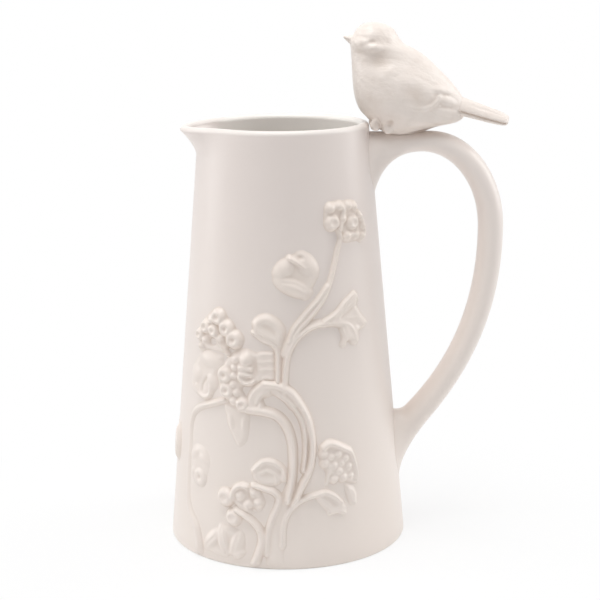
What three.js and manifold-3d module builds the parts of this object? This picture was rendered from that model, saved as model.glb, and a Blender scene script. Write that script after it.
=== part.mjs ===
// Bird jug: a tapered cast jug with a pulled spout, a looped handle with a small bird perched
// on it, and pressed clay sprigs of a flowering vine luted round the wall.
// Millimetres, +Z up. The jug's axis is Z while it is built: spout at -X, handle at +X,
// front at -Y. The finished group is then shifted so that its box is centred on the origin.

import * as THREE from "three";
import { mergeVertices } from "three/addons/utils/BufferGeometryUtils.js";
import Module from "manifold-3d";

const wasm = await Module();
wasm.setup();

// Jug wall and foot
const JUG_HEIGHT = 207;
const FOOT_RADIUS = 59;
const RIM_RADIUS = 41.2;
const WALL = 4.6;
const FLOOR = 6;
const FLOOR_ROUND = 10;
const FOOT_ROUND = 2.5;
const FOOT_RING = 7;
const FOOT_RECESS = 2.2;
const JUG_SIDES = 48;

// Pulled spout
const SPOUT_REACH = 8.7;
const SPOUT_DEPTH = 12.6;
const SPOUT_CURVE = 1.45;
const SPOUT_DIP = 0.9;
const SPOUT_HALF_ANGLE = THREE.MathUtils.degToRad(52);
const SPOUT_PINCH = 2.6;

// Luted joints: the layer of slip between two pieces, and how far a piece is built into its
// neighbour before it is cut back to that layer
const LUTE_GAP = 0.3;
const SINK = 3;

// Handle, measured down from the rim and out from its edge
const HANDLE_DROP = 5;
const HANDLE_REACH = 65.9;
const HANDLE_APEX_DROP = 52;
const HANDLE_STRAIGHT = 29.7;
const HANDLE_NECK = 9.2;
const HANDLE_GRIP = 13.2;
const HANDLE_WIDTH = 16;
const UPPER_JOINT = 36;
const LOWER_JOINT = 36;
const LOWER_JOINT_FOOT = 27.5;
const ELBOW_REACH = 18.6;
const ELBOW_RISE = 31;
const ELBOW_ANGLE = THREE.MathUtils.degToRad(51);
const ELBOW_INNER_REACH = 6;
const ELBOW_INNER_ANGLE = THREE.MathUtils.degToRad(46);
const LOWER_FLARE = 10;
// How far a curve's pulls reach: in a quarter ellipse, in the upper joint's fuller one, and in
// the long sweep down to the elbow
const QUARTER_PULL = 0.552;
const JOINT_PULL = 0.66;
const SWEEP_PULL = 0.385;
const HANDLE_SIDES = 14;
const HANDLE_STEPS = [5, 7, 8, 5];

// Bird, in its own frame: x back from the rim's edge, z up from the handle's top.
// Each slice gives height, breast, back and half width.
const BIRD_SLICES = [
  [-1, 9.1, 24.6, 6],
  [1.6, 4.3, 33.6, 10.5],
  [5.5, 0.4, 41.6, 14],
  [10.4, -4.2, 45.6, 16.4],
  [16.2, -6.6, 45.2, 17.4],
  [23.8, -7.7, 39.6, 16.8],
  [29, -8, 34.6, 15.6],
  [33.4, -8.2, 30.4, 13.6],
  [38.8, -8.6, 23.2, 12.4],
  [42.2, -8.8, 16.8, 12.2],
  [45, -8, 14.4, 11.4],
  [48.8, -6, 12, 8.9],
  [51.2, -3, 7.9, 5.2],
  [52, 2.4, 2.4, 0],
];
const BIRD_WIDEST = 0.42;
const BIRD_REAR_TAPER = 0.3;
const BIRD_SIDES = 16;
const BEAK_TIP = [-12.2, 45.4];
const BEAK_LENGTH = 7;
const BEAK_RADIUS = 2.6;
const TOE_AT = [5.4, 5.5, 1];
const TOE_RADIUS = 2.6;
const TAIL_ROOT = [38, 13];
const TAIL_TIP = [67.6, 4.2];
const TAIL_WIDTH = 13;
const TAIL_THICKNESS = 4.2;
const TAIL_DROOP = 2.6;
const TAIL_ROOT_THICKNESS = 9;
const WING_AT = [26, 17.5];
const WING_LENGTH = 42;
const WING_DEPTH = 16;
const WING_TURN = THREE.MathUtils.degToRad(-29);
const WING_LIFT = 1.9;
const WING_SPREAD = 8;
const WING_INSIDE = 4;

// Sprigs: lifts above the wall, and the vine's widths
const STEM_LIFT = 1.6;
const STEM_STEP = 7;
const STEM_WIDTH = 4;
const TRUNK_WIDTH = 8;
const TWIG_WIDTH = 3;
const LEAF_LIFT = 1.9;
const FLOWER_LIFT = 2.6;
const PAD_LIFT = 1.2;
const FLORET_RADIUS = 3.1;
const BERRY_RADIUS = 3.4;
const BLOSSOM_RADIUS = 4.4;
const SPOUT_LEAF_HEIGHT = 51;
const SPOUT_LEAF_TURN = THREE.MathUtils.degToRad(76.5);

const GLAZE_COLOUR = 0xe9e1db;
const GLAZE_ROUGHNESS = 0.25;

// A closed body from points and triangles, turned so that its faces point outwards
function closedBody(points, triangles) {
  const cross = new THREE.Vector3();
  let volume = 0;
  for (const [a, b, c] of triangles) {
    volume += points[a].dot(cross.crossVectors(points[b], points[c]));
  }
  const outward = volume > 0 ? triangles : triangles.map(([a, b, c]) => [a, c, b]);
  return new wasm.Manifold(
    new wasm.Mesh({
      numProp: 3,
      vertProperties: new Float32Array(points.flatMap((p) => p.toArray())),
      triVerts: new Uint32Array(outward.flat()),
    }),
  );
}

// A three.js geometry as a closed body
function bodyOf(geometry) {
  geometry.deleteAttribute("normal");
  geometry.deleteAttribute("uv");
  const merged = mergeVertices(geometry);
  const position = merged.getAttribute("position");
  const points = [];
  for (let i = 0; i < position.count; i += 1) {
    points.push(new THREE.Vector3().fromBufferAttribute(position, i));
  }
  const triangles = [];
  for (let i = 0; i < merged.index.count; i += 3) {
    const corner = [0, 1, 2].map((k) => merged.index.getX(i + k));
    if (new Set(corner).size === 3) {
      triangles.push(corner);
    }
  }
  return closedBody(points, triangles);
}

// A loft through closed rings of equally many points, with a fan over each end
function loft(rings) {
  const sides = rings[0].length;
  const points = rings.flat();
  const triangles = [];
  for (let k = 0; k + 1 < rings.length; k += 1) {
    for (let i = 0; i < sides; i += 1) {
      const a = k * sides + i;
      const b = k * sides + ((i + 1) % sides);
      triangles.push([a, b, b + sides], [a, b + sides, a + sides]);
    }
  }
  for (const end of [0, rings.length - 1]) {
    const middle = new THREE.Vector3();
    rings[end].forEach((p) => middle.addScaledVector(p, 1 / sides));
    const centre = points.push(middle) - 1;
    for (let i = 0; i < sides; i += 1) {
      const a = end * sides + i;
      const b = end * sides + ((i + 1) % sides);
      triangles.push(end === 0 ? [centre, b, a] : [centre, a, b]);
    }
  }
  return closedBody(points, triangles);
}

// A glazed mesh from a body
function glazed(name, body) {
  const { vertProperties, triVerts } = body.getMesh();
  const geometry = new THREE.BufferGeometry();
  geometry.setAttribute("position", new THREE.BufferAttribute(vertProperties, 3));
  geometry.setIndex(new THREE.BufferAttribute(triVerts, 1));
  geometry.computeVertexNormals();
  const material = new THREE.MeshStandardMaterial({
    color: GLAZE_COLOUR,
    roughness: GLAZE_ROUGHNESS,
    metalness: 0,
  });
  const mesh = new THREE.Mesh(geometry, material);
  mesh.name = name;
  return mesh;
}

// Outer radius of the straight, tapered wall at a height
function wallRadius(z) {
  return FOOT_RADIUS + ((RIM_RADIUS - FOOT_RADIUS) * z) / JUG_HEIGHT;
}

// Points of a quarter or half turn in a lathe profile, from one angle to another
function arc(x, z, radius, from, to, steps) {
  const points = [];
  for (let i = 0; i <= steps; i += 1) {
    const angle = from + ((to - from) * i) / steps;
    points.push(new THREE.Vector2(x + radius * Math.cos(angle), z + radius * Math.sin(angle)));
  }
  return points;
}

// The cast jug: foot recess, standing ring, wall, rounded rim, inside wall and floor
function jugBody() {
  const rimRound = WALL / 2;
  const wallTop = JUG_HEIGHT - rimRound;
  const spoutLevels = [1, 0.75, 0.5, 0.25].map((share) => wallTop - share * SPOUT_DEPTH);
  const foot = wallRadius(FOOT_ROUND) - FOOT_ROUND;
  const ringInside = foot - FOOT_RING;
  const floorTop = FOOT_RECESS + FLOOR;
  const corner = wallRadius(floorTop + FLOOR_ROUND) - WALL - FLOOR_ROUND;
  const profile = [
    new THREE.Vector2(0, FOOT_RECESS),
    new THREE.Vector2(ringInside - FOOT_RECESS, FOOT_RECESS),
    new THREE.Vector2(ringInside, 0),
    ...arc(foot, FOOT_ROUND, FOOT_ROUND, -Math.PI / 2, 0, 2),
    ...spoutLevels.map((z) => new THREE.Vector2(wallRadius(z), z)),
    ...arc(wallRadius(wallTop) - rimRound, wallTop, rimRound, 0, Math.PI, 4),
    ...spoutLevels.reverse().map((z) => new THREE.Vector2(wallRadius(z) - WALL, z)),
    ...arc(corner, floorTop + FLOOR_ROUND, FLOOR_ROUND, 0, -Math.PI / 2, 3),
    new THREE.Vector2(0, floorTop),
  ];
  const geometry = new THREE.LatheGeometry(profile, JUG_SIDES).rotateX(Math.PI / 2);
  pullSpout(geometry.getAttribute("position"), wallTop);
  return bodyOf(geometry);
}

// Pulls the wall outwards towards -X near the rim, most at the lip's middle, which dips a little
function pullSpout(position, wallTop) {
  for (let i = 0; i < position.count; i += 1) {
    const x = position.getX(i);
    const y = position.getY(i);
    const fromSpout = Math.atan2(Math.abs(y), -x);
    const rise = (position.getZ(i) - wallTop + SPOUT_DEPTH) / SPOUT_DEPTH;
    if (fromSpout < SPOUT_HALF_ANGLE && rise > 0) {
      const across = Math.cos((fromSpout / SPOUT_HALF_ANGLE) * (Math.PI / 2)) ** SPOUT_PINCH;
      const share = across * Math.min(rise, 1) ** SPOUT_CURVE;
      const pull = SPOUT_REACH * share;
      const radius = Math.hypot(x, y);
      position.setX(i, x * (1 + pull / radius));
      position.setY(i, y * (1 + pull / radius));
      position.setZ(i, position.getZ(i) - SPOUT_DIP * share);
    }
  }
}

// The wall as a filled cone, grown by a gap, which cuts the back of whatever is luted to it
function wallCutter(gap) {
  const below = -SINK;
  const profile = [
    new THREE.Vector2(0, below),
    new THREE.Vector2(wallRadius(below) + gap, below),
    new THREE.Vector2(RIM_RADIUS + gap, JUG_HEIGHT),
    new THREE.Vector2(0, JUG_HEIGHT),
  ];
  return bodyOf(new THREE.LatheGeometry(profile, JUG_SIDES).rotateX(Math.PI / 2));
}

// A cubic curve in the XZ plane
function edge(...corners) {
  return new THREE.CubicBezierCurve(...corners.map(([x, z]) => new THREE.Vector2(x, z)));
}

// A quarter of an ellipse that leaves its start level, or upright, and turns to the other
function quarter([x0, z0], [x1, z1], startsLevel, fullness = QUARTER_PULL) {
  const dx = fullness * (x1 - x0);
  const dz = fullness * (z1 - z0);
  if (startsLevel) {
    return edge([x0, z0], [x0 + dx, z0], [x1, z1 - dz], [x1, z1]);
  }
  return edge([x0, z0], [x0, z0 + dz], [x1 - dx, z1], [x1, z1]);
}

// A sweep from an upright start down to an elbow that it meets at an angle
function sweep([x0, z0], [x1, z1], angle) {
  const pull = SWEEP_PULL * (z0 - z1);
  const lead = [x1 + pull * Math.cos(angle), z1 + pull * Math.sin(angle)];
  return edge([x0, z0], [x0, z0 - pull], lead, [x1, z1]);
}

// The handle's outer and inner edges from the upper joint to the lower one, four spans each
function handleEdges() {
  const top = JUG_HEIGHT - HANDLE_DROP;
  const under = top - HANDLE_NECK;
  const apex = JUG_HEIGHT - HANDLE_APEX_DROP;
  const crown = RIM_RADIUS + HANDLE_STRAIGHT;
  const far = RIM_RADIUS + HANDLE_REACH;
  const near = far - HANDLE_GRIP;
  const upperFoot = top - UPPER_JOINT;
  const lowerTop = LOWER_JOINT_FOOT + LOWER_JOINT;
  const elbowZ = LOWER_JOINT_FOOT + ELBOW_RISE;
  const elbow = [wallRadius(elbowZ) + ELBOW_REACH, elbowZ];
  const innerElbow = [wallRadius(lowerTop) + ELBOW_INNER_REACH, lowerTop + LUTE_GAP];
  const upperTop = [wallRadius(top), top];
  const upperLow = [wallRadius(upperFoot), upperFoot];
  const lowerHigh = [wallRadius(lowerTop), lowerTop];
  const lowerLow = [wallRadius(LOWER_JOINT_FOOT), LOWER_JOINT_FOOT];
  const flareX = elbow[0] - LOWER_FLARE * Math.cos(ELBOW_ANGLE);
  const flareZ = elbow[1] - LOWER_FLARE * Math.sin(ELBOW_ANGLE);
  const outer = [
    edge(upperTop, upperTop, [crown, top], [crown, top]),
    quarter([crown, top], [far, apex], true),
    sweep([far, apex], elbow, ELBOW_ANGLE),
    edge(elbow, [flareX, flareZ], [lowerLow[0], lowerLow[1] + LOWER_FLARE], lowerLow),
  ];
  const inner = [
    quarter(upperLow, [crown, under], false, JOINT_PULL),
    quarter([crown, under], [near, apex], true),
    sweep([near, apex], innerElbow, ELBOW_INNER_ANGLE),
    edge(innerElbow, lowerHigh, lowerHigh, lowerHigh),
  ];
  return { outer, inner };
}

// The handle as a loft of oval sections between its two edges, run on into the wall
function handleBody(gap) {
  const { outer, inner } = handleEdges();
  const rings = [];
  HANDLE_STEPS.forEach((steps, span) => {
    for (let i = span === 0 ? 0 : 1; i <= steps; i += 1) {
      const share = i / steps;
      rings.push(handleSection(outer[span].getPoint(share), inner[span].getPoint(share), gap));
    }
  });
  const intoWall = (ring) => ring.map((p) => p.clone().setX(p.x - SINK));
  return loft([intoWall(rings[0]), ...rings, intoWall(rings.at(-1))]);
}

function handleSection(outer, inner, gap) {
  const middle = outer.clone().add(inner).multiplyScalar(0.5);
  const half = outer.clone().sub(middle);
  half.setLength(half.length() + gap);
  const ring = [];
  for (let i = 0; i < HANDLE_SIDES; i += 1) {
    const angle = (2 * Math.PI * i) / HANDLE_SIDES;
    const along = Math.cos(angle);
    const across = (HANDLE_WIDTH / 2 + gap) * Math.sin(angle);
    ring.push(new THREE.Vector3(middle.x + half.x * along, across, middle.y + half.y * along));
  }
  return ring;
}

// The bird's frame: x from the rim's edge, z from the top of the handle
const PERCH = new THREE.Vector3(RIM_RADIUS, 0, JUG_HEIGHT - HANDLE_DROP);

// A slice of the bird at a height between its given slices
function birdSlice(height) {
  const above = BIRD_SLICES.findIndex((slice) => slice[0] >= height);
  const high = BIRD_SLICES[Math.max(above, 1)];
  const low = BIRD_SLICES[Math.max(above, 1) - 1];
  const share = (height - low[0]) / (high[0] - low[0]);
  return low.map((value, k) => value + (high[k] - value) * share);
}

// Half width of the bird at a point of its side view
function flank(x, height) {
  const [, breast, back, half] = birdSlice(height);
  const widest = breast + BIRD_WIDEST * (back - breast);
  const along = (x - widest) / (x > widest ? back - widest : widest - breast);
  const round = Math.sqrt(Math.max(0, 1 - along * along));
  return half * round * (1 - BIRD_REAR_TAPER * Math.max(0, along));
}

// Trunk and head as a loft of egg-shaped slices, grown by a gap
function birdTrunk(gap) {
  const rings = BIRD_SLICES.map(([height, breast, back, half]) => {
    const widest = breast + BIRD_WIDEST * (back - breast);
    const ring = [];
    for (let i = 0; i < BIRD_SIDES; i += 1) {
      const angle = (2 * Math.PI * i) / BIRD_SIDES;
      const along = Math.cos(angle);
      const reach = (along > 0 ? back - widest : widest - breast) + gap;
      const taper = 1 - BIRD_REAR_TAPER * Math.max(0, along);
      const out = (half + gap) * Math.sin(angle) * taper;
      ring.push(new THREE.Vector3(widest + reach * along, out, height).add(PERCH));
    }
    return ring;
  });
  return loft(rings);
}

function birdBody() {
  const beak = new THREE.ConeGeometry(BEAK_RADIUS, BEAK_LENGTH, 10).rotateZ(Math.PI / 2);
  beak.translate(BEAK_TIP[0] + BEAK_LENGTH / 2, 0, BEAK_TIP[1]);
  beak.translate(PERCH.x, PERCH.y, PERCH.z);
  let body = birdTrunk(0).add(bodyOf(beak));
  for (const side of [1, -1]) {
    const toe = new THREE.SphereGeometry(TOE_RADIUS, 8, 5);
    toe.translate(PERCH.x + TOE_AT[0], side * TOE_AT[1], PERCH.z + TOE_AT[2]);
    body = body.add(bodyOf(toe));
  }
  return body.subtract(handleBody(LUTE_GAP));
}

// The tail as a loft of flat ovals from its root in the rump to its rounded tip, arched across so
// that its outer feathers droop
function birdTail(gap) {
  const root = new THREE.Vector2(...TAIL_ROOT);
  const tip = new THREE.Vector2(...TAIL_TIP);
  const axis = tip.clone().sub(root).normalize();
  const sections = [
    [0, 0.8, TAIL_ROOT_THICKNESS],
    [0.3, 0.86, (TAIL_ROOT_THICKNESS + TAIL_THICKNESS) / 2],
    [0.6, 0.95, TAIL_THICKNESS],
    [0.88, 1, TAIL_THICKNESS * 0.9],
    [0.97, 0.8, TAIL_THICKNESS * 0.7],
    [1, 0.5, TAIL_THICKNESS * 0.4],
  ];
  const sides = 12;
  const rings = sections.map(([share, width, thickness]) => {
    const centre = root.clone().lerp(tip, share);
    const ring = [];
    for (let i = 0; i < sides; i += 1) {
      const angle = (2 * Math.PI * i) / sides;
      const arch = TAIL_DROOP * share * (0.5 - Math.cos(angle) ** 2);
      const up = (thickness / 2 + gap) * Math.sin(angle) + arch;
      const across = ((TAIL_WIDTH * width) / 2 + gap) * Math.cos(angle);
      const point = new THREE.Vector3(centre.x - axis.y * up, across, centre.y + axis.x * up);
      ring.push(point.add(PERCH));
    }
    return ring;
  });
  return loft(rings);
}

// A point above the jug's wall: distance round the wall from the front, height, and lift
function onWall(round, z, lift) {
  const angle = round / wallRadius(z);
  const radius = wallRadius(z) + lift;
  return new THREE.Vector3(radius * Math.sin(angle), -radius * Math.cos(angle), z);
}

// A closed relief: an outline about a centre, drawn in to that centre in rings that each have
// a share of the outline's size and a lift. The first ring is the back.
function relief({ outline, rings, steps, place, gap = 0 }) {
  const points = rings.slice(0, -1).map(([share, lift], k) => {
    const ring = [];
    for (let i = 0; i < steps; i += 1) {
      const turn = (2 * Math.PI * i) / steps;
      const [u, v] = outline(turn);
      const grown = share * (1 + gap / Math.hypot(u, v));
      const height = typeof lift === "function" ? lift(turn) : lift;
      ring.push(place(u * grown, v * grown, height + (k > 0 ? gap : 0)));
    }
    return ring;
  });
  const all = points.flat();
  const triangles = [];
  for (let k = 0; k + 1 < points.length; k += 1) {
    for (let i = 0; i < steps; i += 1) {
      const a = k * steps + i;
      const b = k * steps + ((i + 1) % steps);
      triangles.push([a, b, b + steps], [a, b + steps, a + steps]);
    }
  }
  const back = all.push(place(0, 0, rings[0][1])) - 1;
  const crown = all.push(place(0, 0, rings.at(-1)[1] + gap)) - 1;
  const last = (points.length - 1) * steps;
  for (let i = 0; i < steps; i += 1) {
    const next = (i + 1) % steps;
    triangles.push([back, next, i], [crown, last + i, last + next]);
  }
  return closedBody(all, triangles);
}

// Places a flat pattern on the wall, turned about a centre
function wallPlace([round, z], turn) {
  const cos = Math.cos(turn);
  const sin = Math.sin(turn);
  return (u, v, lift) => onWall(round + u * cos - v * sin, z + u * sin + v * cos, lift);
}

function joined(bodies) {
  return bodies.reduce((all, body) => all.add(body));
}

// A floret: a small raised ring with a dimple
function floret(at, gap, radius) {
  return relief({
    outline: (turn) => [radius * Math.cos(turn), radius * Math.sin(turn)],
    rings: [
      [1.1, -SINK],
      [0.75, FLOWER_LIFT],
      [0, FLOWER_LIFT * 0.6],
    ],
    steps: 6,
    place: wallPlace(at, 0),
    gap,
  });
}

// The low pad that carries a cluster of florets
function pad(at, turn, length, width, gap) {
  return relief({
    outline: (angle) => [(length / 2) * Math.cos(angle), (width / 2) * Math.sin(angle)],
    rings: [
      [1, -SINK],
      [1, PAD_LIFT * 0.7],
      [0, PAD_LIFT],
    ],
    steps: 10,
    place: wallPlace(at, turn),
    gap,
  });
}

// A pointed leaf along its own axis, with a shallow valley for the midrib
function leaf(at, turn, length, width, gap, lift = LEAF_LIFT) {
  const crease = (angle) => lift * (0.75 + 0.25 * Math.abs(Math.sin(angle)));
  return relief({
    outline: (angle) => [
      (length / 2) * Math.cos(angle),
      (width / 2) * Math.sin(angle) * (1 - 0.25 * Math.cos(angle)) * Math.abs(Math.sin(angle)) ** 0.3,
    ],
    rings: [
      [1, -SINK],
      [1, lift * 0.4],
      [0.6, crease],
      [0, lift * 0.75],
    ],
    steps: 12,
    place: wallPlace(at, turn),
    gap,
  });
}

// A round form with lobes or petals round its edge and, if wanted, a raised middle
function lobed(at, turn, radius, lobes, notch, gap, boss = 0.8) {
  const swell = (angle) => FLOWER_LIFT * (0.85 + 0.15 * Math.cos(lobes * angle));
  return relief({
    outline: (angle) => {
      const reach = radius * (1 - notch * (0.5 - 0.5 * Math.cos(lobes * angle)));
      return [reach * Math.cos(angle), reach * Math.sin(angle)];
    },
    rings: [
      [1, -SINK],
      [1, FLOWER_LIFT * 0.35],
      [0.65, swell],
      [0.3, FLOWER_LIFT * 0.6],
      [0, FLOWER_LIFT * boss],
    ],
    steps: lobes * 2,
    place: wallPlace(at, turn),
    gap,
  });
}

// A stem: a half-round strip along a smooth curve through points of the wall
function stem(points, width, gap) {
  const curve = new THREE.CatmullRomCurve3(points.map(([round, z]) => new THREE.Vector3(round, z, 0)));
  const steps = Math.ceil(curve.getLength() / STEM_STEP);
  const half = width / 2 + gap;
  const lift = STEM_LIFT + gap;
  const section = [
    [-half * 1.2, -SINK],
    [-half * 0.5, lift],
    [half * 0.5, lift],
    [half * 1.2, -SINK],
  ];
  const rings = [];
  for (let i = 0; i <= steps; i += 1) {
    const centre = curve.getPointAt(i / steps);
    const along = curve.getTangentAt(i / steps);
    rings.push(section.map(([s, l]) => onWall(centre.x - along.y * s, centre.y + along.x * s, l)));
  }
  return loft(rings);
}

// A cluster of florets on its pad
function cluster(middle, florets, gap, radius) {
  return joined([pad(...middle, gap), ...florets.map((at) => floret(at, gap, radius))]);
}

// Sprigs in the order in which they are laid: each is cut back to those before it. Each is
// made with a gap, which is 0 for the sprig itself and the luting gap for the space that it
// keeps clear. Places are distance round the wall from the front, towards the handle, and height.
const SPRIGS = {
  top_umbel: (gap) => {
    const upper = [[22, 170.2], [27.4, 170.8], [32.6, 170.6], [22.4, 164.6], [27.8, 165]];
    const lower = [[32.8, 163.4], [38, 164], [32.2, 157.8], [38, 156.6]];
    return cluster([[30, 164], -0.35, 20, 15], [...upper, ...lower], gap, FLORET_RADIUS);
  },
  folded_leaf: (gap) =>
    joined([
      leaf([3.5, 140.5], 1.2, 19, 15, gap),
      leaf([11, 144], 0.25, 17, 13, gap),
      leaf([12, 134.5], -0.5, 15, 11, gap),
    ]),
  lobed_leaf: (gap) =>
    joined([
      leaf([29.5, 124.5], 0.75, 23, 11, gap),
      leaf([33, 117.5], -0.08, 22, 12, gap),
      leaf([28.5, 111.5], -0.75, 21, 11, gap),
      leaf([22.5, 110.5], -1.5, 12, 9, gap),
    ]),
  bud_leaf: (gap) => leaf([-7.6, 117], 0.05, 17, 11, gap),
  berry_spray: (gap) => {
    const upper = [[-34.4, 120.4], [-28.8, 115.2], [-40, 115.4], [-34.6, 113.8]];
    const lower = [[-25, 109.8], [-31, 108.6], [-45, 109.6], [-39.4, 108.2]];
    return cluster([[-35, 112], 0, 22, 16], [...upper, ...lower], gap, BERRY_RADIUS);
  },
  rosette: (gap) => lobed([-18.6, 92.4], 0.2, 13.4, 11, 0.22, gap),
  broad_leaf: (gap) => leaf([-44.4, 90.4], 0.78, 31, 22, gap),
  lower_umbel: (gap) => {
    const upper = [[17.6, 55.4], [21.4, 60], [26.8, 60.2], [31.4, 57], [33.6, 51.4]];
    const lower = [[34, 45.6], [23, 54], [28.2, 53.4], [28.4, 47.4]];
    return cluster([[26, 50.4], 0.6, 26, 22], [...upper, ...lower], gap, FLORET_RADIUS);
  },
  bract_leaf: (gap) =>
    joined([leaf([19.6, 32.4], -0.42, 22, 11, gap), leaf([30.6, 33], 1.2, 14, 8, gap)]),
  bud: (gap) => leaf([-8.4, 47.4], 0.1, 17, 13, gap, FLOWER_LIFT),
  blossoms: (gap) => {
    const heads = [[-28.4, 34], [-21.5, 37.6], [-14.8, 33.4], [-21.6, 29.4]];
    return cluster([[-21.5, 33.6], 0, 15, 9], heads, gap, BLOSSOM_RADIUS);
  },
  ground_leaf: (gap) => lobed([-31, 14.6], 0.3, 11, 9, 0.25, gap, 0.9),
  side_floret: (gap) => floret([-47.2, 39.8], gap, BLOSSOM_RADIUS),
  spout_leaf: (gap) => {
    const round = -SPOUT_LEAF_TURN * wallRadius(SPOUT_LEAF_HEIGHT);
    return leaf([round, SPOUT_LEAF_HEIGHT], Math.PI / 2, 17, 7, gap, FLOWER_LIFT);
  },
  side_stem: (gap) => {
    const low = [[-47.6, 4], [-48.4, 11], [-50.4, 17.4], [-54.4, 22], [-57, 32]];
    const high = [[-57.4, 42], [-55.6, 56], [-55, 66], [-49.4, 71.6], [-40.6, 74.4], [-33.6, 78]];
    return stem([...low, ...high], STEM_WIDTH, gap);
  },
  vine: (gap) => {
    const trunk = [[-7, 4], [-6.4, 12], [-5.2, 22], [-2.4, 30], [1.4, 37], [3.4, 43]];
    const outerArch = [[4, 36], [6.8, 42], [10.6, 50], [12.4, 59], [11.6, 68], [8.8, 77], [3, 84], [-4, 89]];
    const innerArch = [[2.6, 41], [3.4, 52], [2.4, 62], [-1.6, 70.4], [-6, 75.6], [-16, 77.4]];
    const climber = [[-2, 86], [-0.6, 93], [-0.2, 100], [1.4, 106], [5, 111.6], [10, 115], [18, 117.4]];
    const top = [[1.6, 107], [4.4, 115.4], [9.6, 122], [18.8, 132], [21.8, 138.4], [24.2, 146], [26.2, 155]];
    const twigs = [
      [[9.6, 48.4], [8.6, 53], [8.2, 59], [6.6, 66], [2.6, 74.4], [-2.4, 81.2], [-8, 83.6]],
      [[-1.6, 92], [-2.6, 99], [-3, 104.4], [-7, 108.6], [-12, 111]],
      [[-7, 15], [-9.6, 17.5], [-13, 21], [-17.4, 24.4], [-21, 26.6]],
      [[-13.8, 5], [-11.6, 11], [-8.6, 17]],
      [[-1.4, 20], [-0.4, 26], [3, 31], [9, 34]],
      [[-2, 31], [-3.4, 36], [-6, 39], [-11, 39.4]],
    ];
    return joined([
      stem(trunk, TRUNK_WIDTH, gap),
      ...[outerArch, innerArch, climber, top].map((points) => stem(points, STEM_WIDTH, gap)),
      ...twigs.map((points) => stem(points, TWIG_WIDTH, gap)),
    ]);
  },
};

// One wing: a leaf-shaped plate that follows the flank, cut back to the bird and the tail
function birdWing(side, cutters) {
  const cos = Math.cos(WING_TURN);
  const sin = Math.sin(WING_TURN);
  const body = relief({
    outline: (angle) => [
      (WING_LENGTH / 2) * Math.cos(angle),
      (WING_DEPTH / 2) * Math.sin(angle) * (1 - 0.35 * Math.cos(angle)),
    ],
    rings: [
      [1, -WING_INSIDE],
      [1, WING_LIFT * 0.6],
      [0.75, WING_LIFT],
      [0.4, WING_LIFT],
      [0, WING_LIFT],
    ],
    steps: 18,
    place: (u, v, lift) => {
      const x = WING_AT[0] + u * cos - v * sin;
      const height = WING_AT[1] + u * sin + v * cos;
      const out = Math.max(flank(x, height), WING_SPREAD) + lift;
      return new THREE.Vector3(x, side * out, height).add(PERCH);
    },
  });
  return cutters.reduce((wing, cutter) => wing.subtract(cutter), body);
}

// The jug, its handle and the bird
const jug = new THREE.Group();
const cutByWall = wallCutter(LUTE_GAP);
const birdClear = birdTrunk(LUTE_GAP);
jug.add(glazed("jug_body", jugBody()));
jug.add(glazed("handle", handleBody(0).subtract(cutByWall)));
jug.add(glazed("bird_body", birdBody()));
jug.add(glazed("bird_tail", birdTail(0).subtract(birdClear)));
const wingCutters = [birdClear, birdTail(LUTE_GAP)];
jug.add(glazed("bird_left_wing", birdWing(-1, wingCutters)));
jug.add(glazed("bird_right_wing", birdWing(1, wingCutters)));

// The front's sprigs, each cut back to the wall and to the sprigs laid before it, and the
// same set mirrored on the back of the jug
const back = new THREE.Group();
back.scale.y = -1;
const taken = [];
for (const [name, make] of Object.entries(SPRIGS)) {
  const body = [cutByWall, ...taken].reduce((sprig, cutter) => sprig.subtract(cutter), make(0));
  taken.push(make(LUTE_GAP));
  jug.add(glazed(`front_${name}`, body));
  back.add(glazed(`back_${name}`, body));
}
jug.add(back);

jug.updateMatrixWorld(true);
const box = new THREE.Box3().setFromObject(jug);
jug.position.x = -(box.min.x + box.max.x) / 2;

export default jug;
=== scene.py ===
import math

import bmesh
import bpy
import numpy as np
from mathutils import Matrix, Vector


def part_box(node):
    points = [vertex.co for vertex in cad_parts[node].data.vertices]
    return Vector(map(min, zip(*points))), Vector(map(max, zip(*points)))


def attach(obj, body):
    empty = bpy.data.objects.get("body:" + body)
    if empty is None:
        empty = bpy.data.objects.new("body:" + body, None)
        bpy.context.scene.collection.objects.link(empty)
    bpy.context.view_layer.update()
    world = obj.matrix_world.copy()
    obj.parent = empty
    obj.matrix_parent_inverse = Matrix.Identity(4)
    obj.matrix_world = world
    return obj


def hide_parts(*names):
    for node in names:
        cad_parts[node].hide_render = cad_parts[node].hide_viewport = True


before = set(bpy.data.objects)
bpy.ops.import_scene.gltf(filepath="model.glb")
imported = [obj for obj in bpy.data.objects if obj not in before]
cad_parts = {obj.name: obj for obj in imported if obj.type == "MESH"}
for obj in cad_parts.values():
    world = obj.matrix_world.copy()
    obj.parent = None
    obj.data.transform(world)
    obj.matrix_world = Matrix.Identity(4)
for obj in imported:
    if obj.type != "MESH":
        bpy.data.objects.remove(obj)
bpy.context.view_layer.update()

# The jug: a slip-cast wall that tapers straight from its foot to a rounded rim, with the lip
# pulled out into a spout while the clay was soft. One thick white glaze covers it inside and
# out, and the standing ring is wiped dry so that it doesn't stick in the kiln.
MM = 0.001
wall_low, wall_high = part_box("jug_body")
AXIS_X = (wall_low.x + wall_high.x) / 2
JUG_HEIGHT = wall_high.z
FOOT_RADIUS = 59 * MM
RIM_RADIUS = 41.2 * MM
WALL = 4.6 * MM
FLOOR = 6 * MM
FLOOR_ROUND = 10 * MM
FOOT_ROUND = 1.4 * MM
FOOT_RING = 7 * MM
FOOT_RECESS = 2.2 * MM
SPOUT_REACH = 8.7 * MM
SPOUT_DEPTH = 12.6 * MM
SPOUT_CURVE = 1.45
SPOUT_DIP = 0.9 * MM
SPOUT_HALF_ANGLE = math.radians(52)
SPOUT_PINCH = 2.6
JUG_SIDES = 288
WALL_ROWS = 24
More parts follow.
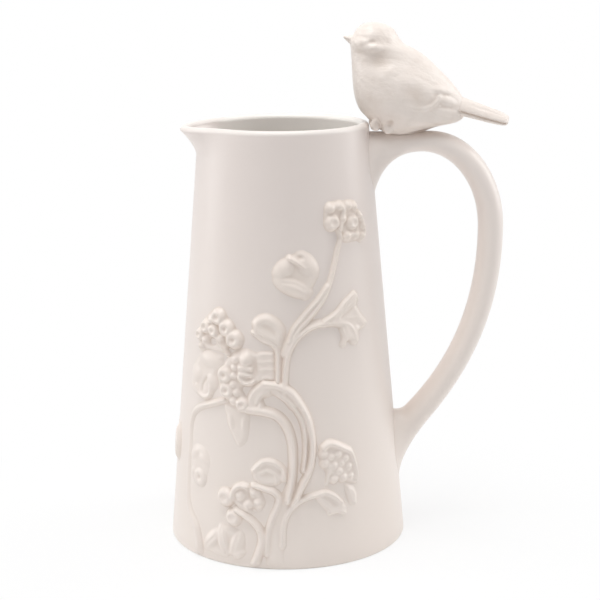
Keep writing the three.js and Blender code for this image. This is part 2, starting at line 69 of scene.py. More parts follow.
WELD_REACH = 0.005 * MM
SHARP_ANGLE = math.radians(40)
GLAZE_TONE = (0.838, 0.761, 0.722, 1)
# Darker and warmer where glaze pools and where shade falls in hollows: partly the glaze's own pooling,
# partly painted shade.
POOLED_AND_SHADED_TONE = (0.66, 0.55, 0.47, 1)
# The inside is painted paler and warmer than the outside, as painted light that lifts the shaded hollow; the
# rim's top takes a share of it as a painted highlight.
INSIDE_LIGHT_AND_RIM_HIGHLIGHT_TONE = (0.95, 0.91, 0.865, 1)
BISCUIT_TONE = (0.84, 0.78, 0.71, 1)
# Towards the foot the glaze is warmer and painted lighter, as the light from the floor falls there: fully
# below the first height, not at all above the second.
FOOT_LIGHT_TONE = (0.888, 0.806, 0.748, 1)
FOOT_LIGHT_REACH = (30 * MM, 180 * MM)
RIM_HIGHLIGHT_DEPTH = 2.6 * MM
RIM_HIGHLIGHT_SHARE = 0.45
DRY_LEVEL = 0.9 * MM
DRY_EDGE = 0.5 * MM
CLOUD_SIZE = 55 * MM
RIPPLE_SIZE = 9 * MM
PEEL_SIZE = 1.3 * MM
RIPPLE_DEPTH = 0.12 * MM
POOL_AND_SHADE_SHARE = 0.7
MOTTLE_SIZE = 5 * MM
MOTTLE_SHARE = 0.24
BARB_SIZE = 2.2 * MM
BARB_STRETCH = (0.45, 1, 1)
GLAZE_ROUGHNESS = 0.29
GLAZE_IOR = 1.52


class Wire:
    """A socket in a node tree. Arithmetic on it adds Math nodes, and node() adds any other node."""

    def __init__(self, tree, socket=None):
        self.tree = tree
        self.socket = socket

    def node(self, kind, settings=None, inputs=None, output=0):
        made = self.tree.nodes.new(kind)
        for name, value in (settings or {}).items():
            setattr(made, name, value)
        for name, value in (inputs or {}).items():
            if isinstance(value, Wire):
                self.tree.links.new(value.socket, made.inputs[name])
            else:
                made.inputs[name].default_value = value
        return Wire(self.tree, made.outputs[output])

    def out(self, name):
        """Another output of the node that this wire comes from."""
        return Wire(self.tree, self.socket.node.outputs[name])

    def into(self, node, name):
        self.tree.links.new(self.socket, node.inputs[name])

    def math(self, operation, *values):
        return self.node("ShaderNodeMath", {"operation": operation}, dict(enumerate(values)))

    def clamped(self):
        return self.node("ShaderNodeClamp", {}, {"Value": self})

    def split(self):
        """The X, Y and Z of a vector."""
        parts = self.node("ShaderNodeSeparateXYZ", {}, {0: self})
        return [parts.out(axis) for axis in "XYZ"]

    def __add__(self, other):
        return self.math("ADD", self, other)

    def __sub__(self, other):
        return self.math("SUBTRACT", self, other)

    def __rsub__(self, other):
        return self.math("SUBTRACT", other, self)

    def __mul__(self, other):
        return self.math("MULTIPLY", self, other)

    def __truediv__(self, other):
        return self.math("DIVIDE", self, other)

    def __rtruediv__(self, other):
        return self.math("DIVIDE", other, self)

    def __pow__(self, other):
        return self.math("POWER", self, other)

    __radd__ = __add__
    __rmul__ = __mul__


def mixed(share, first, second):
    """A colour between two, by a share that is a wire."""
    inputs = {0: share, 6: first, 7: second}
    return share.node("ShaderNodeMix", {"data_type": "RGBA"}, inputs, output=2)


def noise(place, size, detail=2.0):
    """Soft random blotches of about a size in metres, from 0 to 1."""
    return place.node("ShaderNodeTexNoise", {}, {"Vector": place, "Scale": 1 / size, "Detail": detail})


def glaze(name, tone=GLAZE_TONE, jug=False, plumage=0.0):
    """Satin white glaze, a little clouded, warmer and painted lighter towards the foot, and darker and
    warmer where it pools and where shade is painted into hollows. The jug's is painted paler inside and has
    a painted highlight along the rim, and is dry under the foot, and a bird's is mottled by its plumage."""
    material = bpy.data.materials.new(name)
    material.use_nodes = True
    tree = material.node_tree
    shader = tree.nodes["Principled BSDF"]
    place = Wire(tree).node("ShaderNodeTexCoord", output="Object")
    x, y, height = place.split()
    clouds = noise(place, CLOUD_SIZE, 3.0)
    pool_and_shade = place.node("ShaderNodeAttribute", {"attribute_name": "pool_and_shade"}, output="Fac")
    low = ((FOOT_LIGHT_REACH[1] - height) / (FOOT_LIGHT_REACH[1] - FOOT_LIGHT_REACH[0])).clamped()
    share = 0.1 * clouds + POOL_AND_SHADE_SHARE * pool_and_shade
    waves = noise(place, RIPPLE_SIZE) + 0.12 * noise(place, PEEL_SIZE)
    if plumage:
        mottle = (noise(place, MOTTLE_SIZE, 3.0) - 0.42) * 2.5
        share = share + MOTTLE_SHARE * mottle.clamped()
        stretch = {0: place, 1: BARB_STRETCH}
        barbs = place.node("ShaderNodeVectorMath", {"operation": "MULTIPLY"}, stretch)
        waves = waves + plumage * noise(barbs, BARB_SIZE, 3.0)
    colour = mixed(share.clamped(), mixed(low, tone, FOOT_LIGHT_TONE), POOLED_AND_SHADED_TONE)
    rough = GLAZE_ROUGHNESS + 0.14 * clouds
    if jug:
        off_axis = ((x - AXIS_X) ** 2 + y**2) ** 0.5
        middle = FOOT_RADIUS - WALL / 2 + (RIM_RADIUS - FOOT_RADIUS) / JUG_HEIGHT * height
        inside = ((middle - off_axis) / (0.5 * WALL)).clamped()
        # A painted highlight along the rim's top, in the inside's paler tone.
        rim = ((height - JUG_HEIGHT + RIM_HIGHLIGHT_DEPTH) / (0.5 * RIM_HIGHLIGHT_DEPTH)).clamped()
        dry = ((DRY_LEVEL - height) / DRY_EDGE).clamped()
        colour = mixed((inside + RIM_HIGHLIGHT_SHARE * rim).clamped(), colour, INSIDE_LIGHT_AND_RIM_HIGHLIGHT_TONE)
        colour = mixed(dry, colour, BISCUIT_TONE)
        rough = rough + 0.6 * dry
    colour.into(shader, "Base Color")
    rough.into(shader, "Roughness")
    shader.inputs["IOR"].default_value = GLAZE_IOR
    surface = {"Height": waves, "Strength": 0.35, "Distance": RIPPLE_DEPTH}
    place.node("ShaderNodeBump", {}, surface).into(shader, "Normal")
    return material


def new_object(name, data):
    """A new object in the scene, at the origin."""
    made = bpy.data.objects.new(name, data)
    bpy.context.scene.collection.objects.link(made)
    return made


def settle(piece):
    """Turns the result of a piece's modifiers into its own plain mesh."""
    graph = bpy.context.evaluated_depsgraph_get()
    mesh = bpy.data.meshes.new_from_object(piece.evaluated_get(graph))
    piece.modifiers.clear()
    piece.data = mesh


def fix(piece, node):
    """Seats a finished piece in its node's place."""
    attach(piece, "root")
    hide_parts(node)


SOCKET_KINDS = {int: "NodeSocketInt", float: "NodeSocketFloat", bpy.types.Material: "NodeSocketMaterial"}


def new_tree(name, values):
    """A geometry tree with a Geometry input and one for each named value, and a wire from each."""
    tree = bpy.data.node_groups.new(name, "GeometryNodeTree")
    kinds = {"Geometry": "NodeSocketGeometry"}
    kinds |= {label: SOCKET_KINDS[type(value)] for label, value in values.items()}
    for label, kind in kinds.items():
        tree.interface.new_socket(label, in_out="INPUT", socket_type=kind)
    tree.interface.new_socket("Geometry", in_out="OUTPUT", socket_type="NodeSocketGeometry")
    given = tree.nodes.new("NodeGroupInput")
    return tree, {label: Wire(tree, given.outputs[label]) for label in kinds}


def end_tree(geometry, finish):
    """Every tree ends alike, in real geometry with its finish on it."""
    real = geometry.node("GeometryNodeRealizeInstances", {}, {"Geometry": geometry})
    done = real.node("GeometryNodeSetMaterial", {}, {"Geometry": real, "Material": finish})
    done.into(done.tree.nodes.new("NodeGroupOutput"), "Geometry")


def grow(piece, tree, values):
    """Runs a geometry tree on a piece and keeps its result as a plain mesh."""
    modifier = piece.modifiers.new(tree.name, "NODES")
    modifier.node_group = tree
    for item in tree.interface.items_tree:
        if item.in_out == "INPUT" and item.name in values:
            modifier[item.identifier] = values[item.name]
    settle(piece)


def wall_radius(z):
    """Outer radius of the wall at a height."""
    return FOOT_RADIUS + (RIM_RADIUS - FOOT_RADIUS) * z / JUG_HEIGHT


def arc(x, z, radius, start, end, steps):
    turn = np.radians(np.linspace(start, end, steps + 1))
    return list(zip(x + radius * np.cos(turn), z + radius * np.sin(turn)))


def jug_profile():
    """Half of the jug's section: foot recess, standing ring, wall, rim, inside wall and floor."""
    rim_round = WALL / 2
    wall_top = JUG_HEIGHT - rim_round
    foot = wall_radius(FOOT_ROUND) - FOOT_ROUND
    ring_inside = foot - FOOT_RING
    floor_top = FOOT_RECESS + FLOOR
    corner = wall_radius(floor_top + FLOOR_ROUND) - WALL - FLOOR_ROUND
    shaft = np.linspace(FOOT_ROUND, wall_top - SPOUT_DEPTH, WALL_ROWS)[1:]
    lip = np.linspace(wall_top - SPOUT_DEPTH, wall_top, WALL_ROWS)[1:-1]
    heights = [*shaft, *lip]
    hollow = [z for z in heights if z > floor_top + FLOOR_ROUND]
    return [
        (0, FOOT_RECESS),
        *arc(ring_inside - FOOT_RECESS, 0, FOOT_RECESS, 90, 0, 6),
        *arc(foot, FOOT_ROUND, FOOT_ROUND, -90, 0, 8),
        *[(wall_radius(z), z) for z in heights],
        *arc(wall_radius(wall_top) - rim_round, wall_top, rim_round, 0, 180, 20),
        *[(wall_radius(z) - WALL, z) for z in reversed(hollow)],
        *arc(corner, floor_top + FLOOR_ROUND, FLOOR_ROUND, 0, -90, 14),
        (0, floor_top),
    ]


def turned_jug_tree(sizes):
    """Turns a profile round the jug's axis, one row of faces for each of its points, and pulls
    the spout out of the rim towards -X."""
    tree, given = new_tree("turned_jug", sizes)
    start = Wire(tree)
    profile = given["Geometry"]
    rows = start.node("GeometryNodeAttributeDomainSize", {"component": "MESH"}, {"Geometry": profile})
    size = {"Size X": 1.0, "Size Y": 1.0, "Vertices X": given["Sides"] + 1, "Vertices Y": rows}
    grid = start.node("GeometryNodeMeshGrid", {}, size)
    position = start.node("GeometryNodeInputPosition")
    grid_x, grid_y = position.split()[:2]
    level = (grid_y + 0.5) * (rows - 1)
    chosen = {"Geometry": profile, "Value": position, "Index": level.math("ROUND", level)}
    sampled = start.node("GeometryNodeSampleIndex", {"data_type": "FLOAT_VECTOR"}, chosen)
    reach, _, height = sampled.split()
    turn = grid_x * (2 * math.pi)
    off_spout = turn.math("MINIMUM", turn.math("ABSOLUTE", turn) / given["Spout Half Angle"], 1.0)
    across = turn.math("COSINE", off_spout * (math.pi / 2)) ** given["Spout Pinch"]
    below = given["Rim Level"] - height
    pulled = across * (1 - below / given["Spout Depth"]).clamped() ** given["Spout Curve"]
    radius = reach + given["Spout Reach"] * pulled
    place = {
        "X": given["Axis X"] - radius * turn.math("COSINE", turn),
        "Y": radius * turn.math("SINE", turn),
        "Z": height - given["Spout Dip"] * pulled,
    }
    spread = start.node("ShaderNodeCombineXYZ", {}, place)
    moved = start.node("GeometryNodeSetPosition", {}, {"Geometry": grid, "Position": spread})
    closed = start.node("GeometryNodeMergeByDistance", {}, {"Geometry": moved, "Distance": WELD_REACH})
    outward = start.node("GeometryNodeFlipFaces", {}, {"Mesh": closed})
    end_tree(start.node("GeometryNodeSetShadeSmooth", {}, {"Geometry": outward}), given["Glaze"])
    return tree


section = bpy.data.meshes.new("jug_section")
section.from_pydata([(radius, 0, z) for radius, z in jug_profile()], [], [])
jug = new_object("glazed_jug_body", section)
jug_sizes = {"Sides": JUG_SIDES, "Axis X": AXIS_X, "Rim Level": JUG_HEIGHT - WALL / 2}
jug_sizes |= {"Spout Reach": SPOUT_REACH, "Spout Depth": SPOUT_DEPTH, "Spout Curve": SPOUT_CURVE}
jug_sizes |= {"Spout Half Angle": SPOUT_HALF_ANGLE, "Spout Pinch": SPOUT_PINCH, "Spout Dip": SPOUT_DIP}
jug_sizes |= {"Glaze": glaze("jug_glaze", jug=True)}
grow(jug, turned_jug_tree(jug_sizes), jug_sizes)
jug.data.set_sharp_from_angle(angle=SHARP_ANGLE)
fix(jug, "jug_body")

# The handle: a solid clay strap, oval in section, pulled into a tall loop. Its ends are scored,
# wetted with slip and pressed on, high up under the rim and low down on the wall.
HANDLE_TOP = JUG_HEIGHT - 5 * MM
HANDLE_FAR = RIM_RADIUS + 65.9 * MM
HANDLE_APEX = JUG_HEIGHT - 52 * MM
HANDLE_STRAIGHT = RIM_RADIUS + 29.7 * MM
UNDER_STRAIGHT = RIM_RADIUS + 25.5 * MM
HANDLE_NECK = 9.9 * MM
HANDLE_GRIP = 12.3 * MM
HANDLE_WIDTH = 16 * MM
UPPER_JOINT_FOOT = HANDLE_TOP - 29.2 * MM
UPPER_LEAD = (3 * MM, 10 * MM)
UNDER_LEAD = 14 * MM
LOWER_JOINT_FOOT = 27.5 * MM
LOWER_JOINT_TOP = LOWER_JOINT_FOOT + 36 * MM
ELBOW_HEIGHT = LOWER_JOINT_FOOT + 31 * MM
ELBOW_REACH = 18.6 * MM
ELBOW_ANGLE = math.radians(51)
ELBOW_INNER_REACH = 6 * MM
ELBOW_INNER_ANGLE = math.radians(46)
INNER_ROUND = 1.7 * MM
LOWER_FLARE = 10 * MM
SLIP_FLARE = 4.5 * MM
SLIP_LENGTH = 9 * MM
HANDLE_SINK = 2.5 * MM
HANDLE_SIDES = 56
# The handle's glaze is painted paler than the jug's, as painted light that lifts its shaded inner side and
# joints.
LIT_HANDLE_TONE = (0.885, 0.81, 0.762, 1)
HANDLE_STEPS = (26, 40, 60, 30)
QUARTER_PULL = 0.552
SWEEP_PULL = 0.385


def bezier(corners, steps):
    share = np.linspace(0, 1, steps + 1)[:, None]
    a, b, c, d = (np.array(corner) for corner in corners)
    rest = 1 - share
    return rest**3 * a + 3 * rest**2 * share * b + 3 * rest * share**2 * c + share**3 * d


def quarter(start, end):
    """A quarter of an ellipse that leaves its start level and comes to its end upright."""
    dx = QUARTER_PULL * (end[0] - start[0])
    dz = QUARTER_PULL * (end[1] - start[1])
    return start, (start[0] + dx, start[1]), (end[0], end[1] - dz), end


def sweep(start, end, angle):
    """Straight down from the start, and in to the end at an angle."""
    pull = SWEEP_PULL * (start[1] - end[1])
    lead = (end[0] + pull * math.cos(angle), end[1] + pull * math.sin(angle))
    return start, (start[0], start[1] - pull), lead, end


def on_wall(z):
    return wall_radius(z), z


def handle_edges():
    """The loop's outer and inner edges in the XZ plane, from the upper joint to the lower."""
    under = HANDLE_TOP - HANDLE_NECK
    near = HANDLE_FAR - HANDLE_GRIP
    elbow = (wall_radius(ELBOW_HEIGHT) + ELBOW_REACH, ELBOW_HEIGHT)
    inner_elbow = (wall_radius(LOWER_JOINT_TOP) + ELBOW_INNER_REACH, LOWER_JOINT_TOP)
    crown = (HANDLE_STRAIGHT, HANDLE_TOP)
    under_crown = (UNDER_STRAIGHT, under)
    flare = (elbow[0] - LOWER_FLARE * math.cos(ELBOW_ANGLE), elbow[1] - LOWER_FLARE * math.sin(ELBOW_ANGLE))
    high = on_wall(UPPER_JOINT_FOOT)
    high_lead = (high[0] + UPPER_LEAD[0], high[1] + UPPER_LEAD[1])
    low = on_wall(LOWER_JOINT_FOOT)
    seat = on_wall(LOWER_JOINT_TOP - INNER_ROUND)
    outer = [
        (on_wall(HANDLE_TOP), on_wall(HANDLE_TOP), crown, crown),
        quarter(crown, (HANDLE_FAR, HANDLE_APEX)),
        sweep((HANDLE_FAR, HANDLE_APEX), elbow, ELBOW_ANGLE),
        (elbow, flare, (low[0], low[1] + LOWER_FLARE), low),
    ]
    inner = [
        (high, high_lead, (UNDER_STRAIGHT - UNDER_LEAD, under), under_crown),
        quarter(under_crown, (near, HANDLE_APEX)),
        sweep((near, HANDLE_APEX), inner_elbow, ELBOW_INNER_ANGLE),
        (inner_elbow, (inner_elbow[0] - INNER_ROUND, seat[1]), (seat[0] + INNER_ROUND, seat[1]), seat),
    ]
    sampled = []
    for spans in (outer, inner):
        points = [bezier(span, steps)[:-1] for span, steps in zip(spans, HANDLE_STEPS)]
        sampled.append(np.concatenate([*points, [spans[-1][-1]]]))
    return sampled


def lofted(name, rings):
    """A closed mesh through rings of equally many points, with a fan over each end."""
    count, sides = rings.shape[:2]
    points = [*rings.reshape(-1, 3), rings[0].mean(0), rings[-1].mean(0)]
    start, end = count * sides, count * sides + 1
    faces = []
    for i in range(sides):
        j = (i + 1) % sides
        last = (count - 1) * sides
        faces.append((start, j, i))
        faces.append((end, last + i, last + j))
        faces += [(k + i, k + j, k + sides + j, k + sides + i) for k in range(0, last, sides)]
    mesh = bpy.data.meshes.new(name)
    mesh.from_pydata([tuple(point) for point in points], [], faces)
    mesh.shade_smooth()
    return mesh


def handle_rings():
    outer, inner = handle_edges()
    middle = (outer + inner) / 2
    half = (outer - inner) / 2
    off_wall = np.maximum(middle[:, 0] - wall_radius(middle[:, 1]), 0)
    smear = (np.clip(1 - off_wall / SLIP_LENGTH, 0, 1) ** 2)[:, None]
    turn = np.linspace(0, 2 * math.pi, HANDLE_SIDES, endpoint=False)
    along = np.cos(turn)
    rings = np.empty((len(middle), HANDLE_SIDES, 3))
    rings[..., 0] = AXIS_X + middle[:, :1] + half[:, :1] * along
    rings[..., 1] = (HANDLE_WIDTH / 2 + SLIP_FLARE * smear) * np.sin(turn)
    rings[..., 2] = middle[:, 1:] + half[:, 1:] * along
    radius = wall_radius(rings[..., 2])
    rings[..., 0] -= smear * (radius - np.sqrt(radius**2 - rings[..., 1] ** 2))
    into_wall = np.array([-HANDLE_SINK, 0, 0])
    return np.concatenate([rings[:1] + into_wall, rings, rings[-1:] + into_wall])


handle = new_object("glazed_handle", lofted("handle", handle_rings()))
handle.data.materials.append(glaze("lit_handle_glaze", LIT_HANDLE_TONE))
fix(handle, "handle")

# The bird: a small solid figure pressed in a mould and luted to the top of the handle, facing
# the spout. Its face and breast are soft under the glaze; beak and toes are part of it.
PERCH = np.array([AXIS_X / MM + RIM_RADIUS / MM, 0, HANDLE_TOP / MM])
# Each slice gives height, breast, back and half width, in millimetres from the perch.
BIRD_SLICES = [
    (-1, 9.1, 24.6, 6), (1.4, 4.5, 30.8, 9.8), (2.6, 3.2, 35, 11.2), (3.5, 2.3, 40, 12.3),
    (4.6, 1.2, 43.6, 13.3), (6.4, -0.5, 45.8, 14.5), (10.4, -4.2, 46.3, 16.4), (16.2, -6.6, 45.2, 17.4),
    (23.8, -7.7, 39.6, 16.8), (29, -8, 34.6, 15.4), (33.4, -8.2, 30.2, 13.4), (36.4, -8.4, 26.8, 12.4),
    (39.4, -8.6, 22, 12.3), (42.2, -8.8, 16.8, 12.2), (45, -8, 14.4, 11.4), (48.8, -6, 12, 8.9),
    (50.3, -4.6, 9.8, 7.1), (51.5, -2.7, 7.3, 4.9), (52.1, -0.5, 4.8, 2.5), (52.3, 2.1, 2.1, 0),
]
BIRD_WIDEST = 0.42
BIRD_REAR_TAPER = 0.3
BIRD_SIDES = 120
BIRD_VOXEL = 0.42 * MM
SKIN_SMOOTHING = 6
SPAN_SAMPLES = 24
PROFILE_STEP = 0.8
PATH_STEP = 0.3
BEAK_PATH = [(-2, 42.6), (-7, 43.4), (-10, 44.4), (-12.2, 45.4)]
BEAK_HEIGHT = (4.4, 3.4, 2.1, 0.45)
BEAK_WIDTH = (5, 3.6, 2, 0.4)
BEAK_SIDES = 24
# The bird's glaze is painted paler than the jug's, as painted light that lifts its shaded breast and belly.
LIT_BIRD_TONE = (0.904, 0.822, 0.762, 1)
# Each toe gives its place in side view, how far out it sits, and its radius.
TOES = [((3, 3.8), 7.4, 2.8), ((9, 2.4), 8.4, 2.9)]
TOE_RINGS = 12
TOE_SIDES = 20


def through(points, step, closed=False):
    """A smooth curve through given points, sampled every step of its length."""
    points = np.array(points, float)
    if closed:
        points = np.concatenate([points[-2:], points, points[:3]])
    else:
        points = np.concatenate([2 * points[:1] - points[1:2], points, 2 * points[-1:] - points[-2:-1]])
    knots = np.concatenate([[0], np.cumsum(np.sqrt(np.linalg.norm(np.diff(points, axis=0), axis=1)))])
    speed = np.diff(points, axis=0) / np.diff(knots)[:, None]
    before, after = np.diff(knots)[:-1, None], np.diff(knots)[1:, None]
    slope = (speed[:-1] * after + speed[1:] * before) / (before + after)
    share = np.linspace(0, 1, SPAN_SAMPLES, endpoint=False)[:, None]
    curve = []
    for k in range(1, len(points) - 2):
        span = knots[k + 1] - knots[k]
        rise = share**2 * (3 - 2 * share)
        lead = share * (1 - share) ** 2 * span
        trail = share**2 * (1 - share) * span
        curve.append(points[k] * (1 - rise) + points[k + 1] * rise + slope[k - 1] * lead - slope[k] * trail)
    if closed:
        curve = curve[1:-1]
    curve = np.concatenate([*curve, points[2:3] if closed else points[-2:-1]])
    length = np.concatenate([[0], np.cumsum(np.linalg.norm(np.diff(curve, axis=0), axis=1))])
    even = np.linspace(0, length[-1], max(int(length[-1] / step), 3) + 1)
    return np.stack([np.interp(even, length, column) for column in curve.T], -1)


bird_profile = through(BIRD_SLICES, PROFILE_STEP)


def flank(x, height):
    """Half width of the bird at points of its side view."""
    breast, back, half = (np.interp(height, bird_profile[:, 0], bird_profile[:, k]) for k in (1, 2, 3))
    widest = breast + BIRD_WIDEST * (back - breast)
    along = (x - widest) / np.where(x > widest, back - widest, widest - breast).clip(0.01)
    return half * np.sqrt((1 - along**2).clip(0)) * (1 - BIRD_REAR_TAPER * along.clip(0))


def bird_trunk():
    """Rings of the trunk and head, egg-shaped and narrower to the rear."""
    height, breast, back, half = bird_profile.T[..., None]
    turn = np.linspace(0, 2 * math.pi, BIRD_SIDES, endpoint=False)
    along = np.cos(turn)
    widest = breast + BIRD_WIDEST * (back - breast)
    rings = np.empty((len(bird_profile), BIRD_SIDES, 3))
    rings[..., 0] = widest + np.where(along > 0, back - widest, widest - breast) * along
    rings[..., 1] = half * np.sin(turn) * (1 - BIRD_REAR_TAPER * along.clip(0))
    rings[..., 2] = height
    return (rings + PERCH) * MM


def beak_rings():
    path = through(BEAK_PATH, PATH_STEP)
    share = np.linspace(0, 1, len(path))
    stops = np.linspace(0, 1, len(BEAK_PATH))
    turn = np.linspace(0, 2 * math.pi, BEAK_SIDES, endpoint=False)
    rings = np.empty((len(path), BEAK_SIDES, 3))
    rings[..., 0] = path[:, :1]
    rings[..., 1] = np.interp(share, stops, BEAK_WIDTH)[:, None] * np.sin(turn)
    rings[..., 2] = path[:, 1:] + np.interp(share, stops, BEAK_HEIGHT)[:, None] * np.cos(turn)
    return (rings + PERCH) * MM


def toe_rings(centre, radius):
    rise = np.linspace(-1.5, 1.5, TOE_RINGS)[:, None]
    turn = np.linspace(0, 2 * math.pi, TOE_SIDES, endpoint=False)
    reach = np.cos(rise)
    rings = np.stack([reach * np.cos(turn), reach * np.sin(turn), np.sin(rise) + 0 * turn], -1)
    return (np.array(centre) + radius * rings + PERCH) * MM


def smooth_step(x):
    x = np.clip(x, 0, 1)
    return x * x * (3 - 2 * x)


def nearest(u, v, path):
    """Distance of each point from a path, and how far along the path its nearest point is."""
    apart = np.hypot(u[:, None] - path[:, 0], v[:, None] - path[:, 1])
    return apart.min(1), apart.argmin(1) / (len(path) - 1)


def in_box(u, v, path, reach=0.0):
    """Which points lie in the box round a path, widened by a reach."""
    low, high = path.min(0) - reach, path.max(0) + reach
    return (u > low[0]) & (u < high[0]) & (v > low[1]) & (v < high[1])


def ridge(points, width, lift, soft=1):
    """A raised line along a path, rounded across, and blended into what is beside it where it is
    soft. Width and lift may be pairs, from start to end."""
    path = through(points, PATH_STEP)
    widths = np.broadcast_to(width, 2)
    lifts = np.broadcast_to(lift, 2)

    def height(u, v):
        raised = np.zeros(u.shape)
        close = in_box(u, v, path, widths.max() / 2)
        distance, share = nearest(u[close], v[close], path)
        half = np.interp(share, (0, 1), widths) / 2
        raised[close] = np.interp(share, (0, 1), lifts) * (1 - (distance / half) ** 2).clip(0) ** soft
        return raised

    return height


def dome(centre, size, lift, turn=0.0, soft=1):
    """A rounded boss, with a half length and half width, turned by an angle."""

    def height(u, v):
        x, y = u - centre[0], v - centre[1]
        along = (x * math.cos(turn) + y * math.sin(turn)) / size[0]
        across = (y * math.cos(turn) - x * math.sin(turn)) / size[1]
        return lift * (1 - along**2 - across**2).clip(0) ** soft

    return height


shells = [lofted("trunk", bird_trunk()), lofted("beak", beak_rings())]
for (toe_x, toe_z), toe_y, toe_radius in TOES:
    shells += [lofted("toe", toe_rings((toe_x, side * toe_y, toe_z), toe_radius)) for side in (1, -1)]
skin = bmesh.new()
for shell in shells:
    skin.from_mesh(shell)
bird = new_object("glazed_bird_body", bpy.data.meshes.new("bird_body"))
skin.to_mesh(bird.data)
skin.free()
remesh = bird.modifiers.new("one_skin", "REMESH")
remesh.mode = "VOXEL"
remesh.voxel_size = BIRD_VOXEL
smooth = bird.modifiers.new("glaze_soft", "SMOOTH")
smooth.factor = 0.5
smooth.iterations = SKIN_SMOOTHING
settle(bird)
bird.data.shade_smooth()

# Details in side view, from face to feet: forms stand out of the flanks, and cuts sink into them and are
# painted darker, as pooled glaze and painted shade.
FACE_FORMS = [
    dome((-4.6, 43.6), (5.4, 2.4), 0.35, 0.1, 2),
    dome((1.8, 40.4), (6, 2.6), 0.9, -0.04, 2),
    dome((15, 29), (8, 5), 0.25, -0.6, 2),
]
FACE_CUTS = [
    ridge([(-6, 46), (-1, 45.1), (3.6, 44.4), (8.4, 43.3)], (3.4, 5.4), 0.32, 2),
    dome((1.1, 43.3), (3, 1.9), 0.7, 0, 2),
    dome((4.8, 35), (8.8, 7.4), 0.95, 0.3, 2),
    dome((-3.6, 38), (5, 2.2), 0.35, -0.2, 2),
    ridge([(-12, 44.8), (-9, 43.6)], 0.9, 0.3, 2),
    dome((9.6, 5.2), (2.2, 2.1), 1, 0, 2),
    ridge([(5.4, 1), (5.2, 4.4), (3.8, 7.2)], (2.2, 1.6), 0.6, 2),
    ridge([(17, -0.8), (24, -0.2), (31.4, 0.6)], (1, 4.4), (1, 3), 2),
    dome((3, 4.2), (2.6, 2.4), 0.9, 0, 2),
]
FLANK_START = 0.12
FLANK_SPAN = 0.4
FACE_POOL_AND_SHADE = 0.6


def set_pool_and_shade(mesh, values):
    """Keeps how much glaze pools and how much shade is painted at each point, from 0 to 1."""
    mesh.attributes.new("pool_and_shade", "FLOAT", "POINT").data.foreach_set("value", values)


def press_details(piece, forms, cuts):
    """Raises and sinks details on both flanks of the bird, drawn in its side view, and paints pooled glaze
    and shade into what sinks.
    """
    mesh = piece.data
    points = np.array([vertex.co for vertex in mesh.vertices]) / MM - PERCH
    normals = np.array([vertex.normal for vertex in mesh.vertices])
    x, z = points[:, 0], points[:, 2]
    height = sum(form(x, z) for form in forms) - sum(cut(x, z) for cut in cuts)
    height = height * smooth_step((np.abs(normals[:, 1]) - FLANK_START) / FLANK_SPAN)
    points = (points + normals * height[:, None] + PERCH) * MM
    mesh.vertices.foreach_set("co", points.ravel())
    # What sinks is painted darker: pooled glaze and painted shade, in the crease under the belly and the
    # hollows of the face.
    set_pool_and_shade(mesh, np.clip(-FACE_POOL_AND_SHADE * height, 0, 1))
    mesh.update()


press_details(bird, FACE_FORMS, FACE_CUTS)
bird_glaze = glaze("bird_glaze", LIT_BIRD_TONE, plumage=8)
bird.data.materials.append(bird_glaze)
fix(bird, "bird_body")

# The tail: a paddle of long feathers, arched like a roof, over a second and narrower layer. The
# two were pressed in one piece and luted into the rump.
TAIL_ROOT = np.array([36, 14.6])
TAIL_TIP = np.array([67.4, 4.6])
# Each section gives a share of the length, half width, and half thickness.
TAIL_SECTIONS = [
    (0, 5, 4.9), (0.25, 5.6, 4.4), (0.5, 6.2, 3.9), (0.72, 6.6, 3.5),
    (0.86, 6.5, 3.1), (0.94, 5.9, 2.7), (0.985, 4.6, 2.1), (1, 2, 0.9),
]
# Half of a section, from the middle of the underside by the step between the layers to the ridge.
TAIL_FORM = [
    (0, -1), (0.5, -1), (0.8, -0.95), (0.88, -0.76), (0.84, -0.56), (0.83, -0.47),
    (0.97, -0.43), (1, -0.33), (0.93, 0.02), (0.72, 0.48), (0.38, 0.87), (0, 1),
]
LAYER_STEP = -0.52
LAYER_SHADE_WIDTH = 0.1
TAIL_GROOVES = (-4.4, -1.5, 1.5, 4.4)
GROOVE_DEPTH = 0.4
GROOVE_WIDTH = 0.5
GROOVE_SPAN = (0.3, 0.95)
GROOVE_FADES = (0.25, 0.12)


def tail_rings():
    """Rings of the tail, and how much pooled glaze and painted shade darken each of their points."""
    share, half_width, half_thick = through(TAIL_SECTIONS, 0.04).T[..., None]
    half = through(TAIL_FORM, 0.05)
    ring = np.concatenate([half, half[-2:0:-1] * (-1, 1)])
    across = half_width * ring[:, 0]
    groove = sum(np.exp(-(((across - at) / GROOVE_WIDTH) ** 2)) for at in TAIL_GROOVES)
    fade = smooth_step((share - GROOVE_SPAN[0]) / GROOVE_FADES[0])
    fade = fade * smooth_step((GROOVE_SPAN[1] - share) / GROOVE_FADES[1])
    up = half_thick * ring[:, 1] - GROOVE_DEPTH * groove * fade * smooth_step(2 + 5 * ring[:, 1])
    slope = TAIL_TIP - TAIL_ROOT
    axis = slope / np.linalg.norm(slope)
    rings = np.empty((*across.shape, 3))
    rings[..., 0] = TAIL_ROOT[0] + share * slope[0] - axis[1] * up
    rings[..., 1] = across
    rings[..., 2] = TAIL_ROOT[1] + share * slope[1] + axis[0] * up
    # A dark line painted under the step between the layers: pooled glaze and painted shade.
    pool_and_shade = np.exp(-(((ring[:, 1] - LAYER_STEP) / LAYER_SHADE_WIDTH) ** 2))
    return (rings + PERCH) * MM, np.tile(pool_and_shade, len(rings))


tail_points, tail_pool_and_shade = tail_rings()
tail = new_object("glazed_bird_tail", lofted("bird_tail", tail_points))
set_pool_and_shade(tail.data, [*tail_pool_and_shade, 0, 0])
tail.data.materials.append(bird_glaze)
fix(tail, "bird_tail")

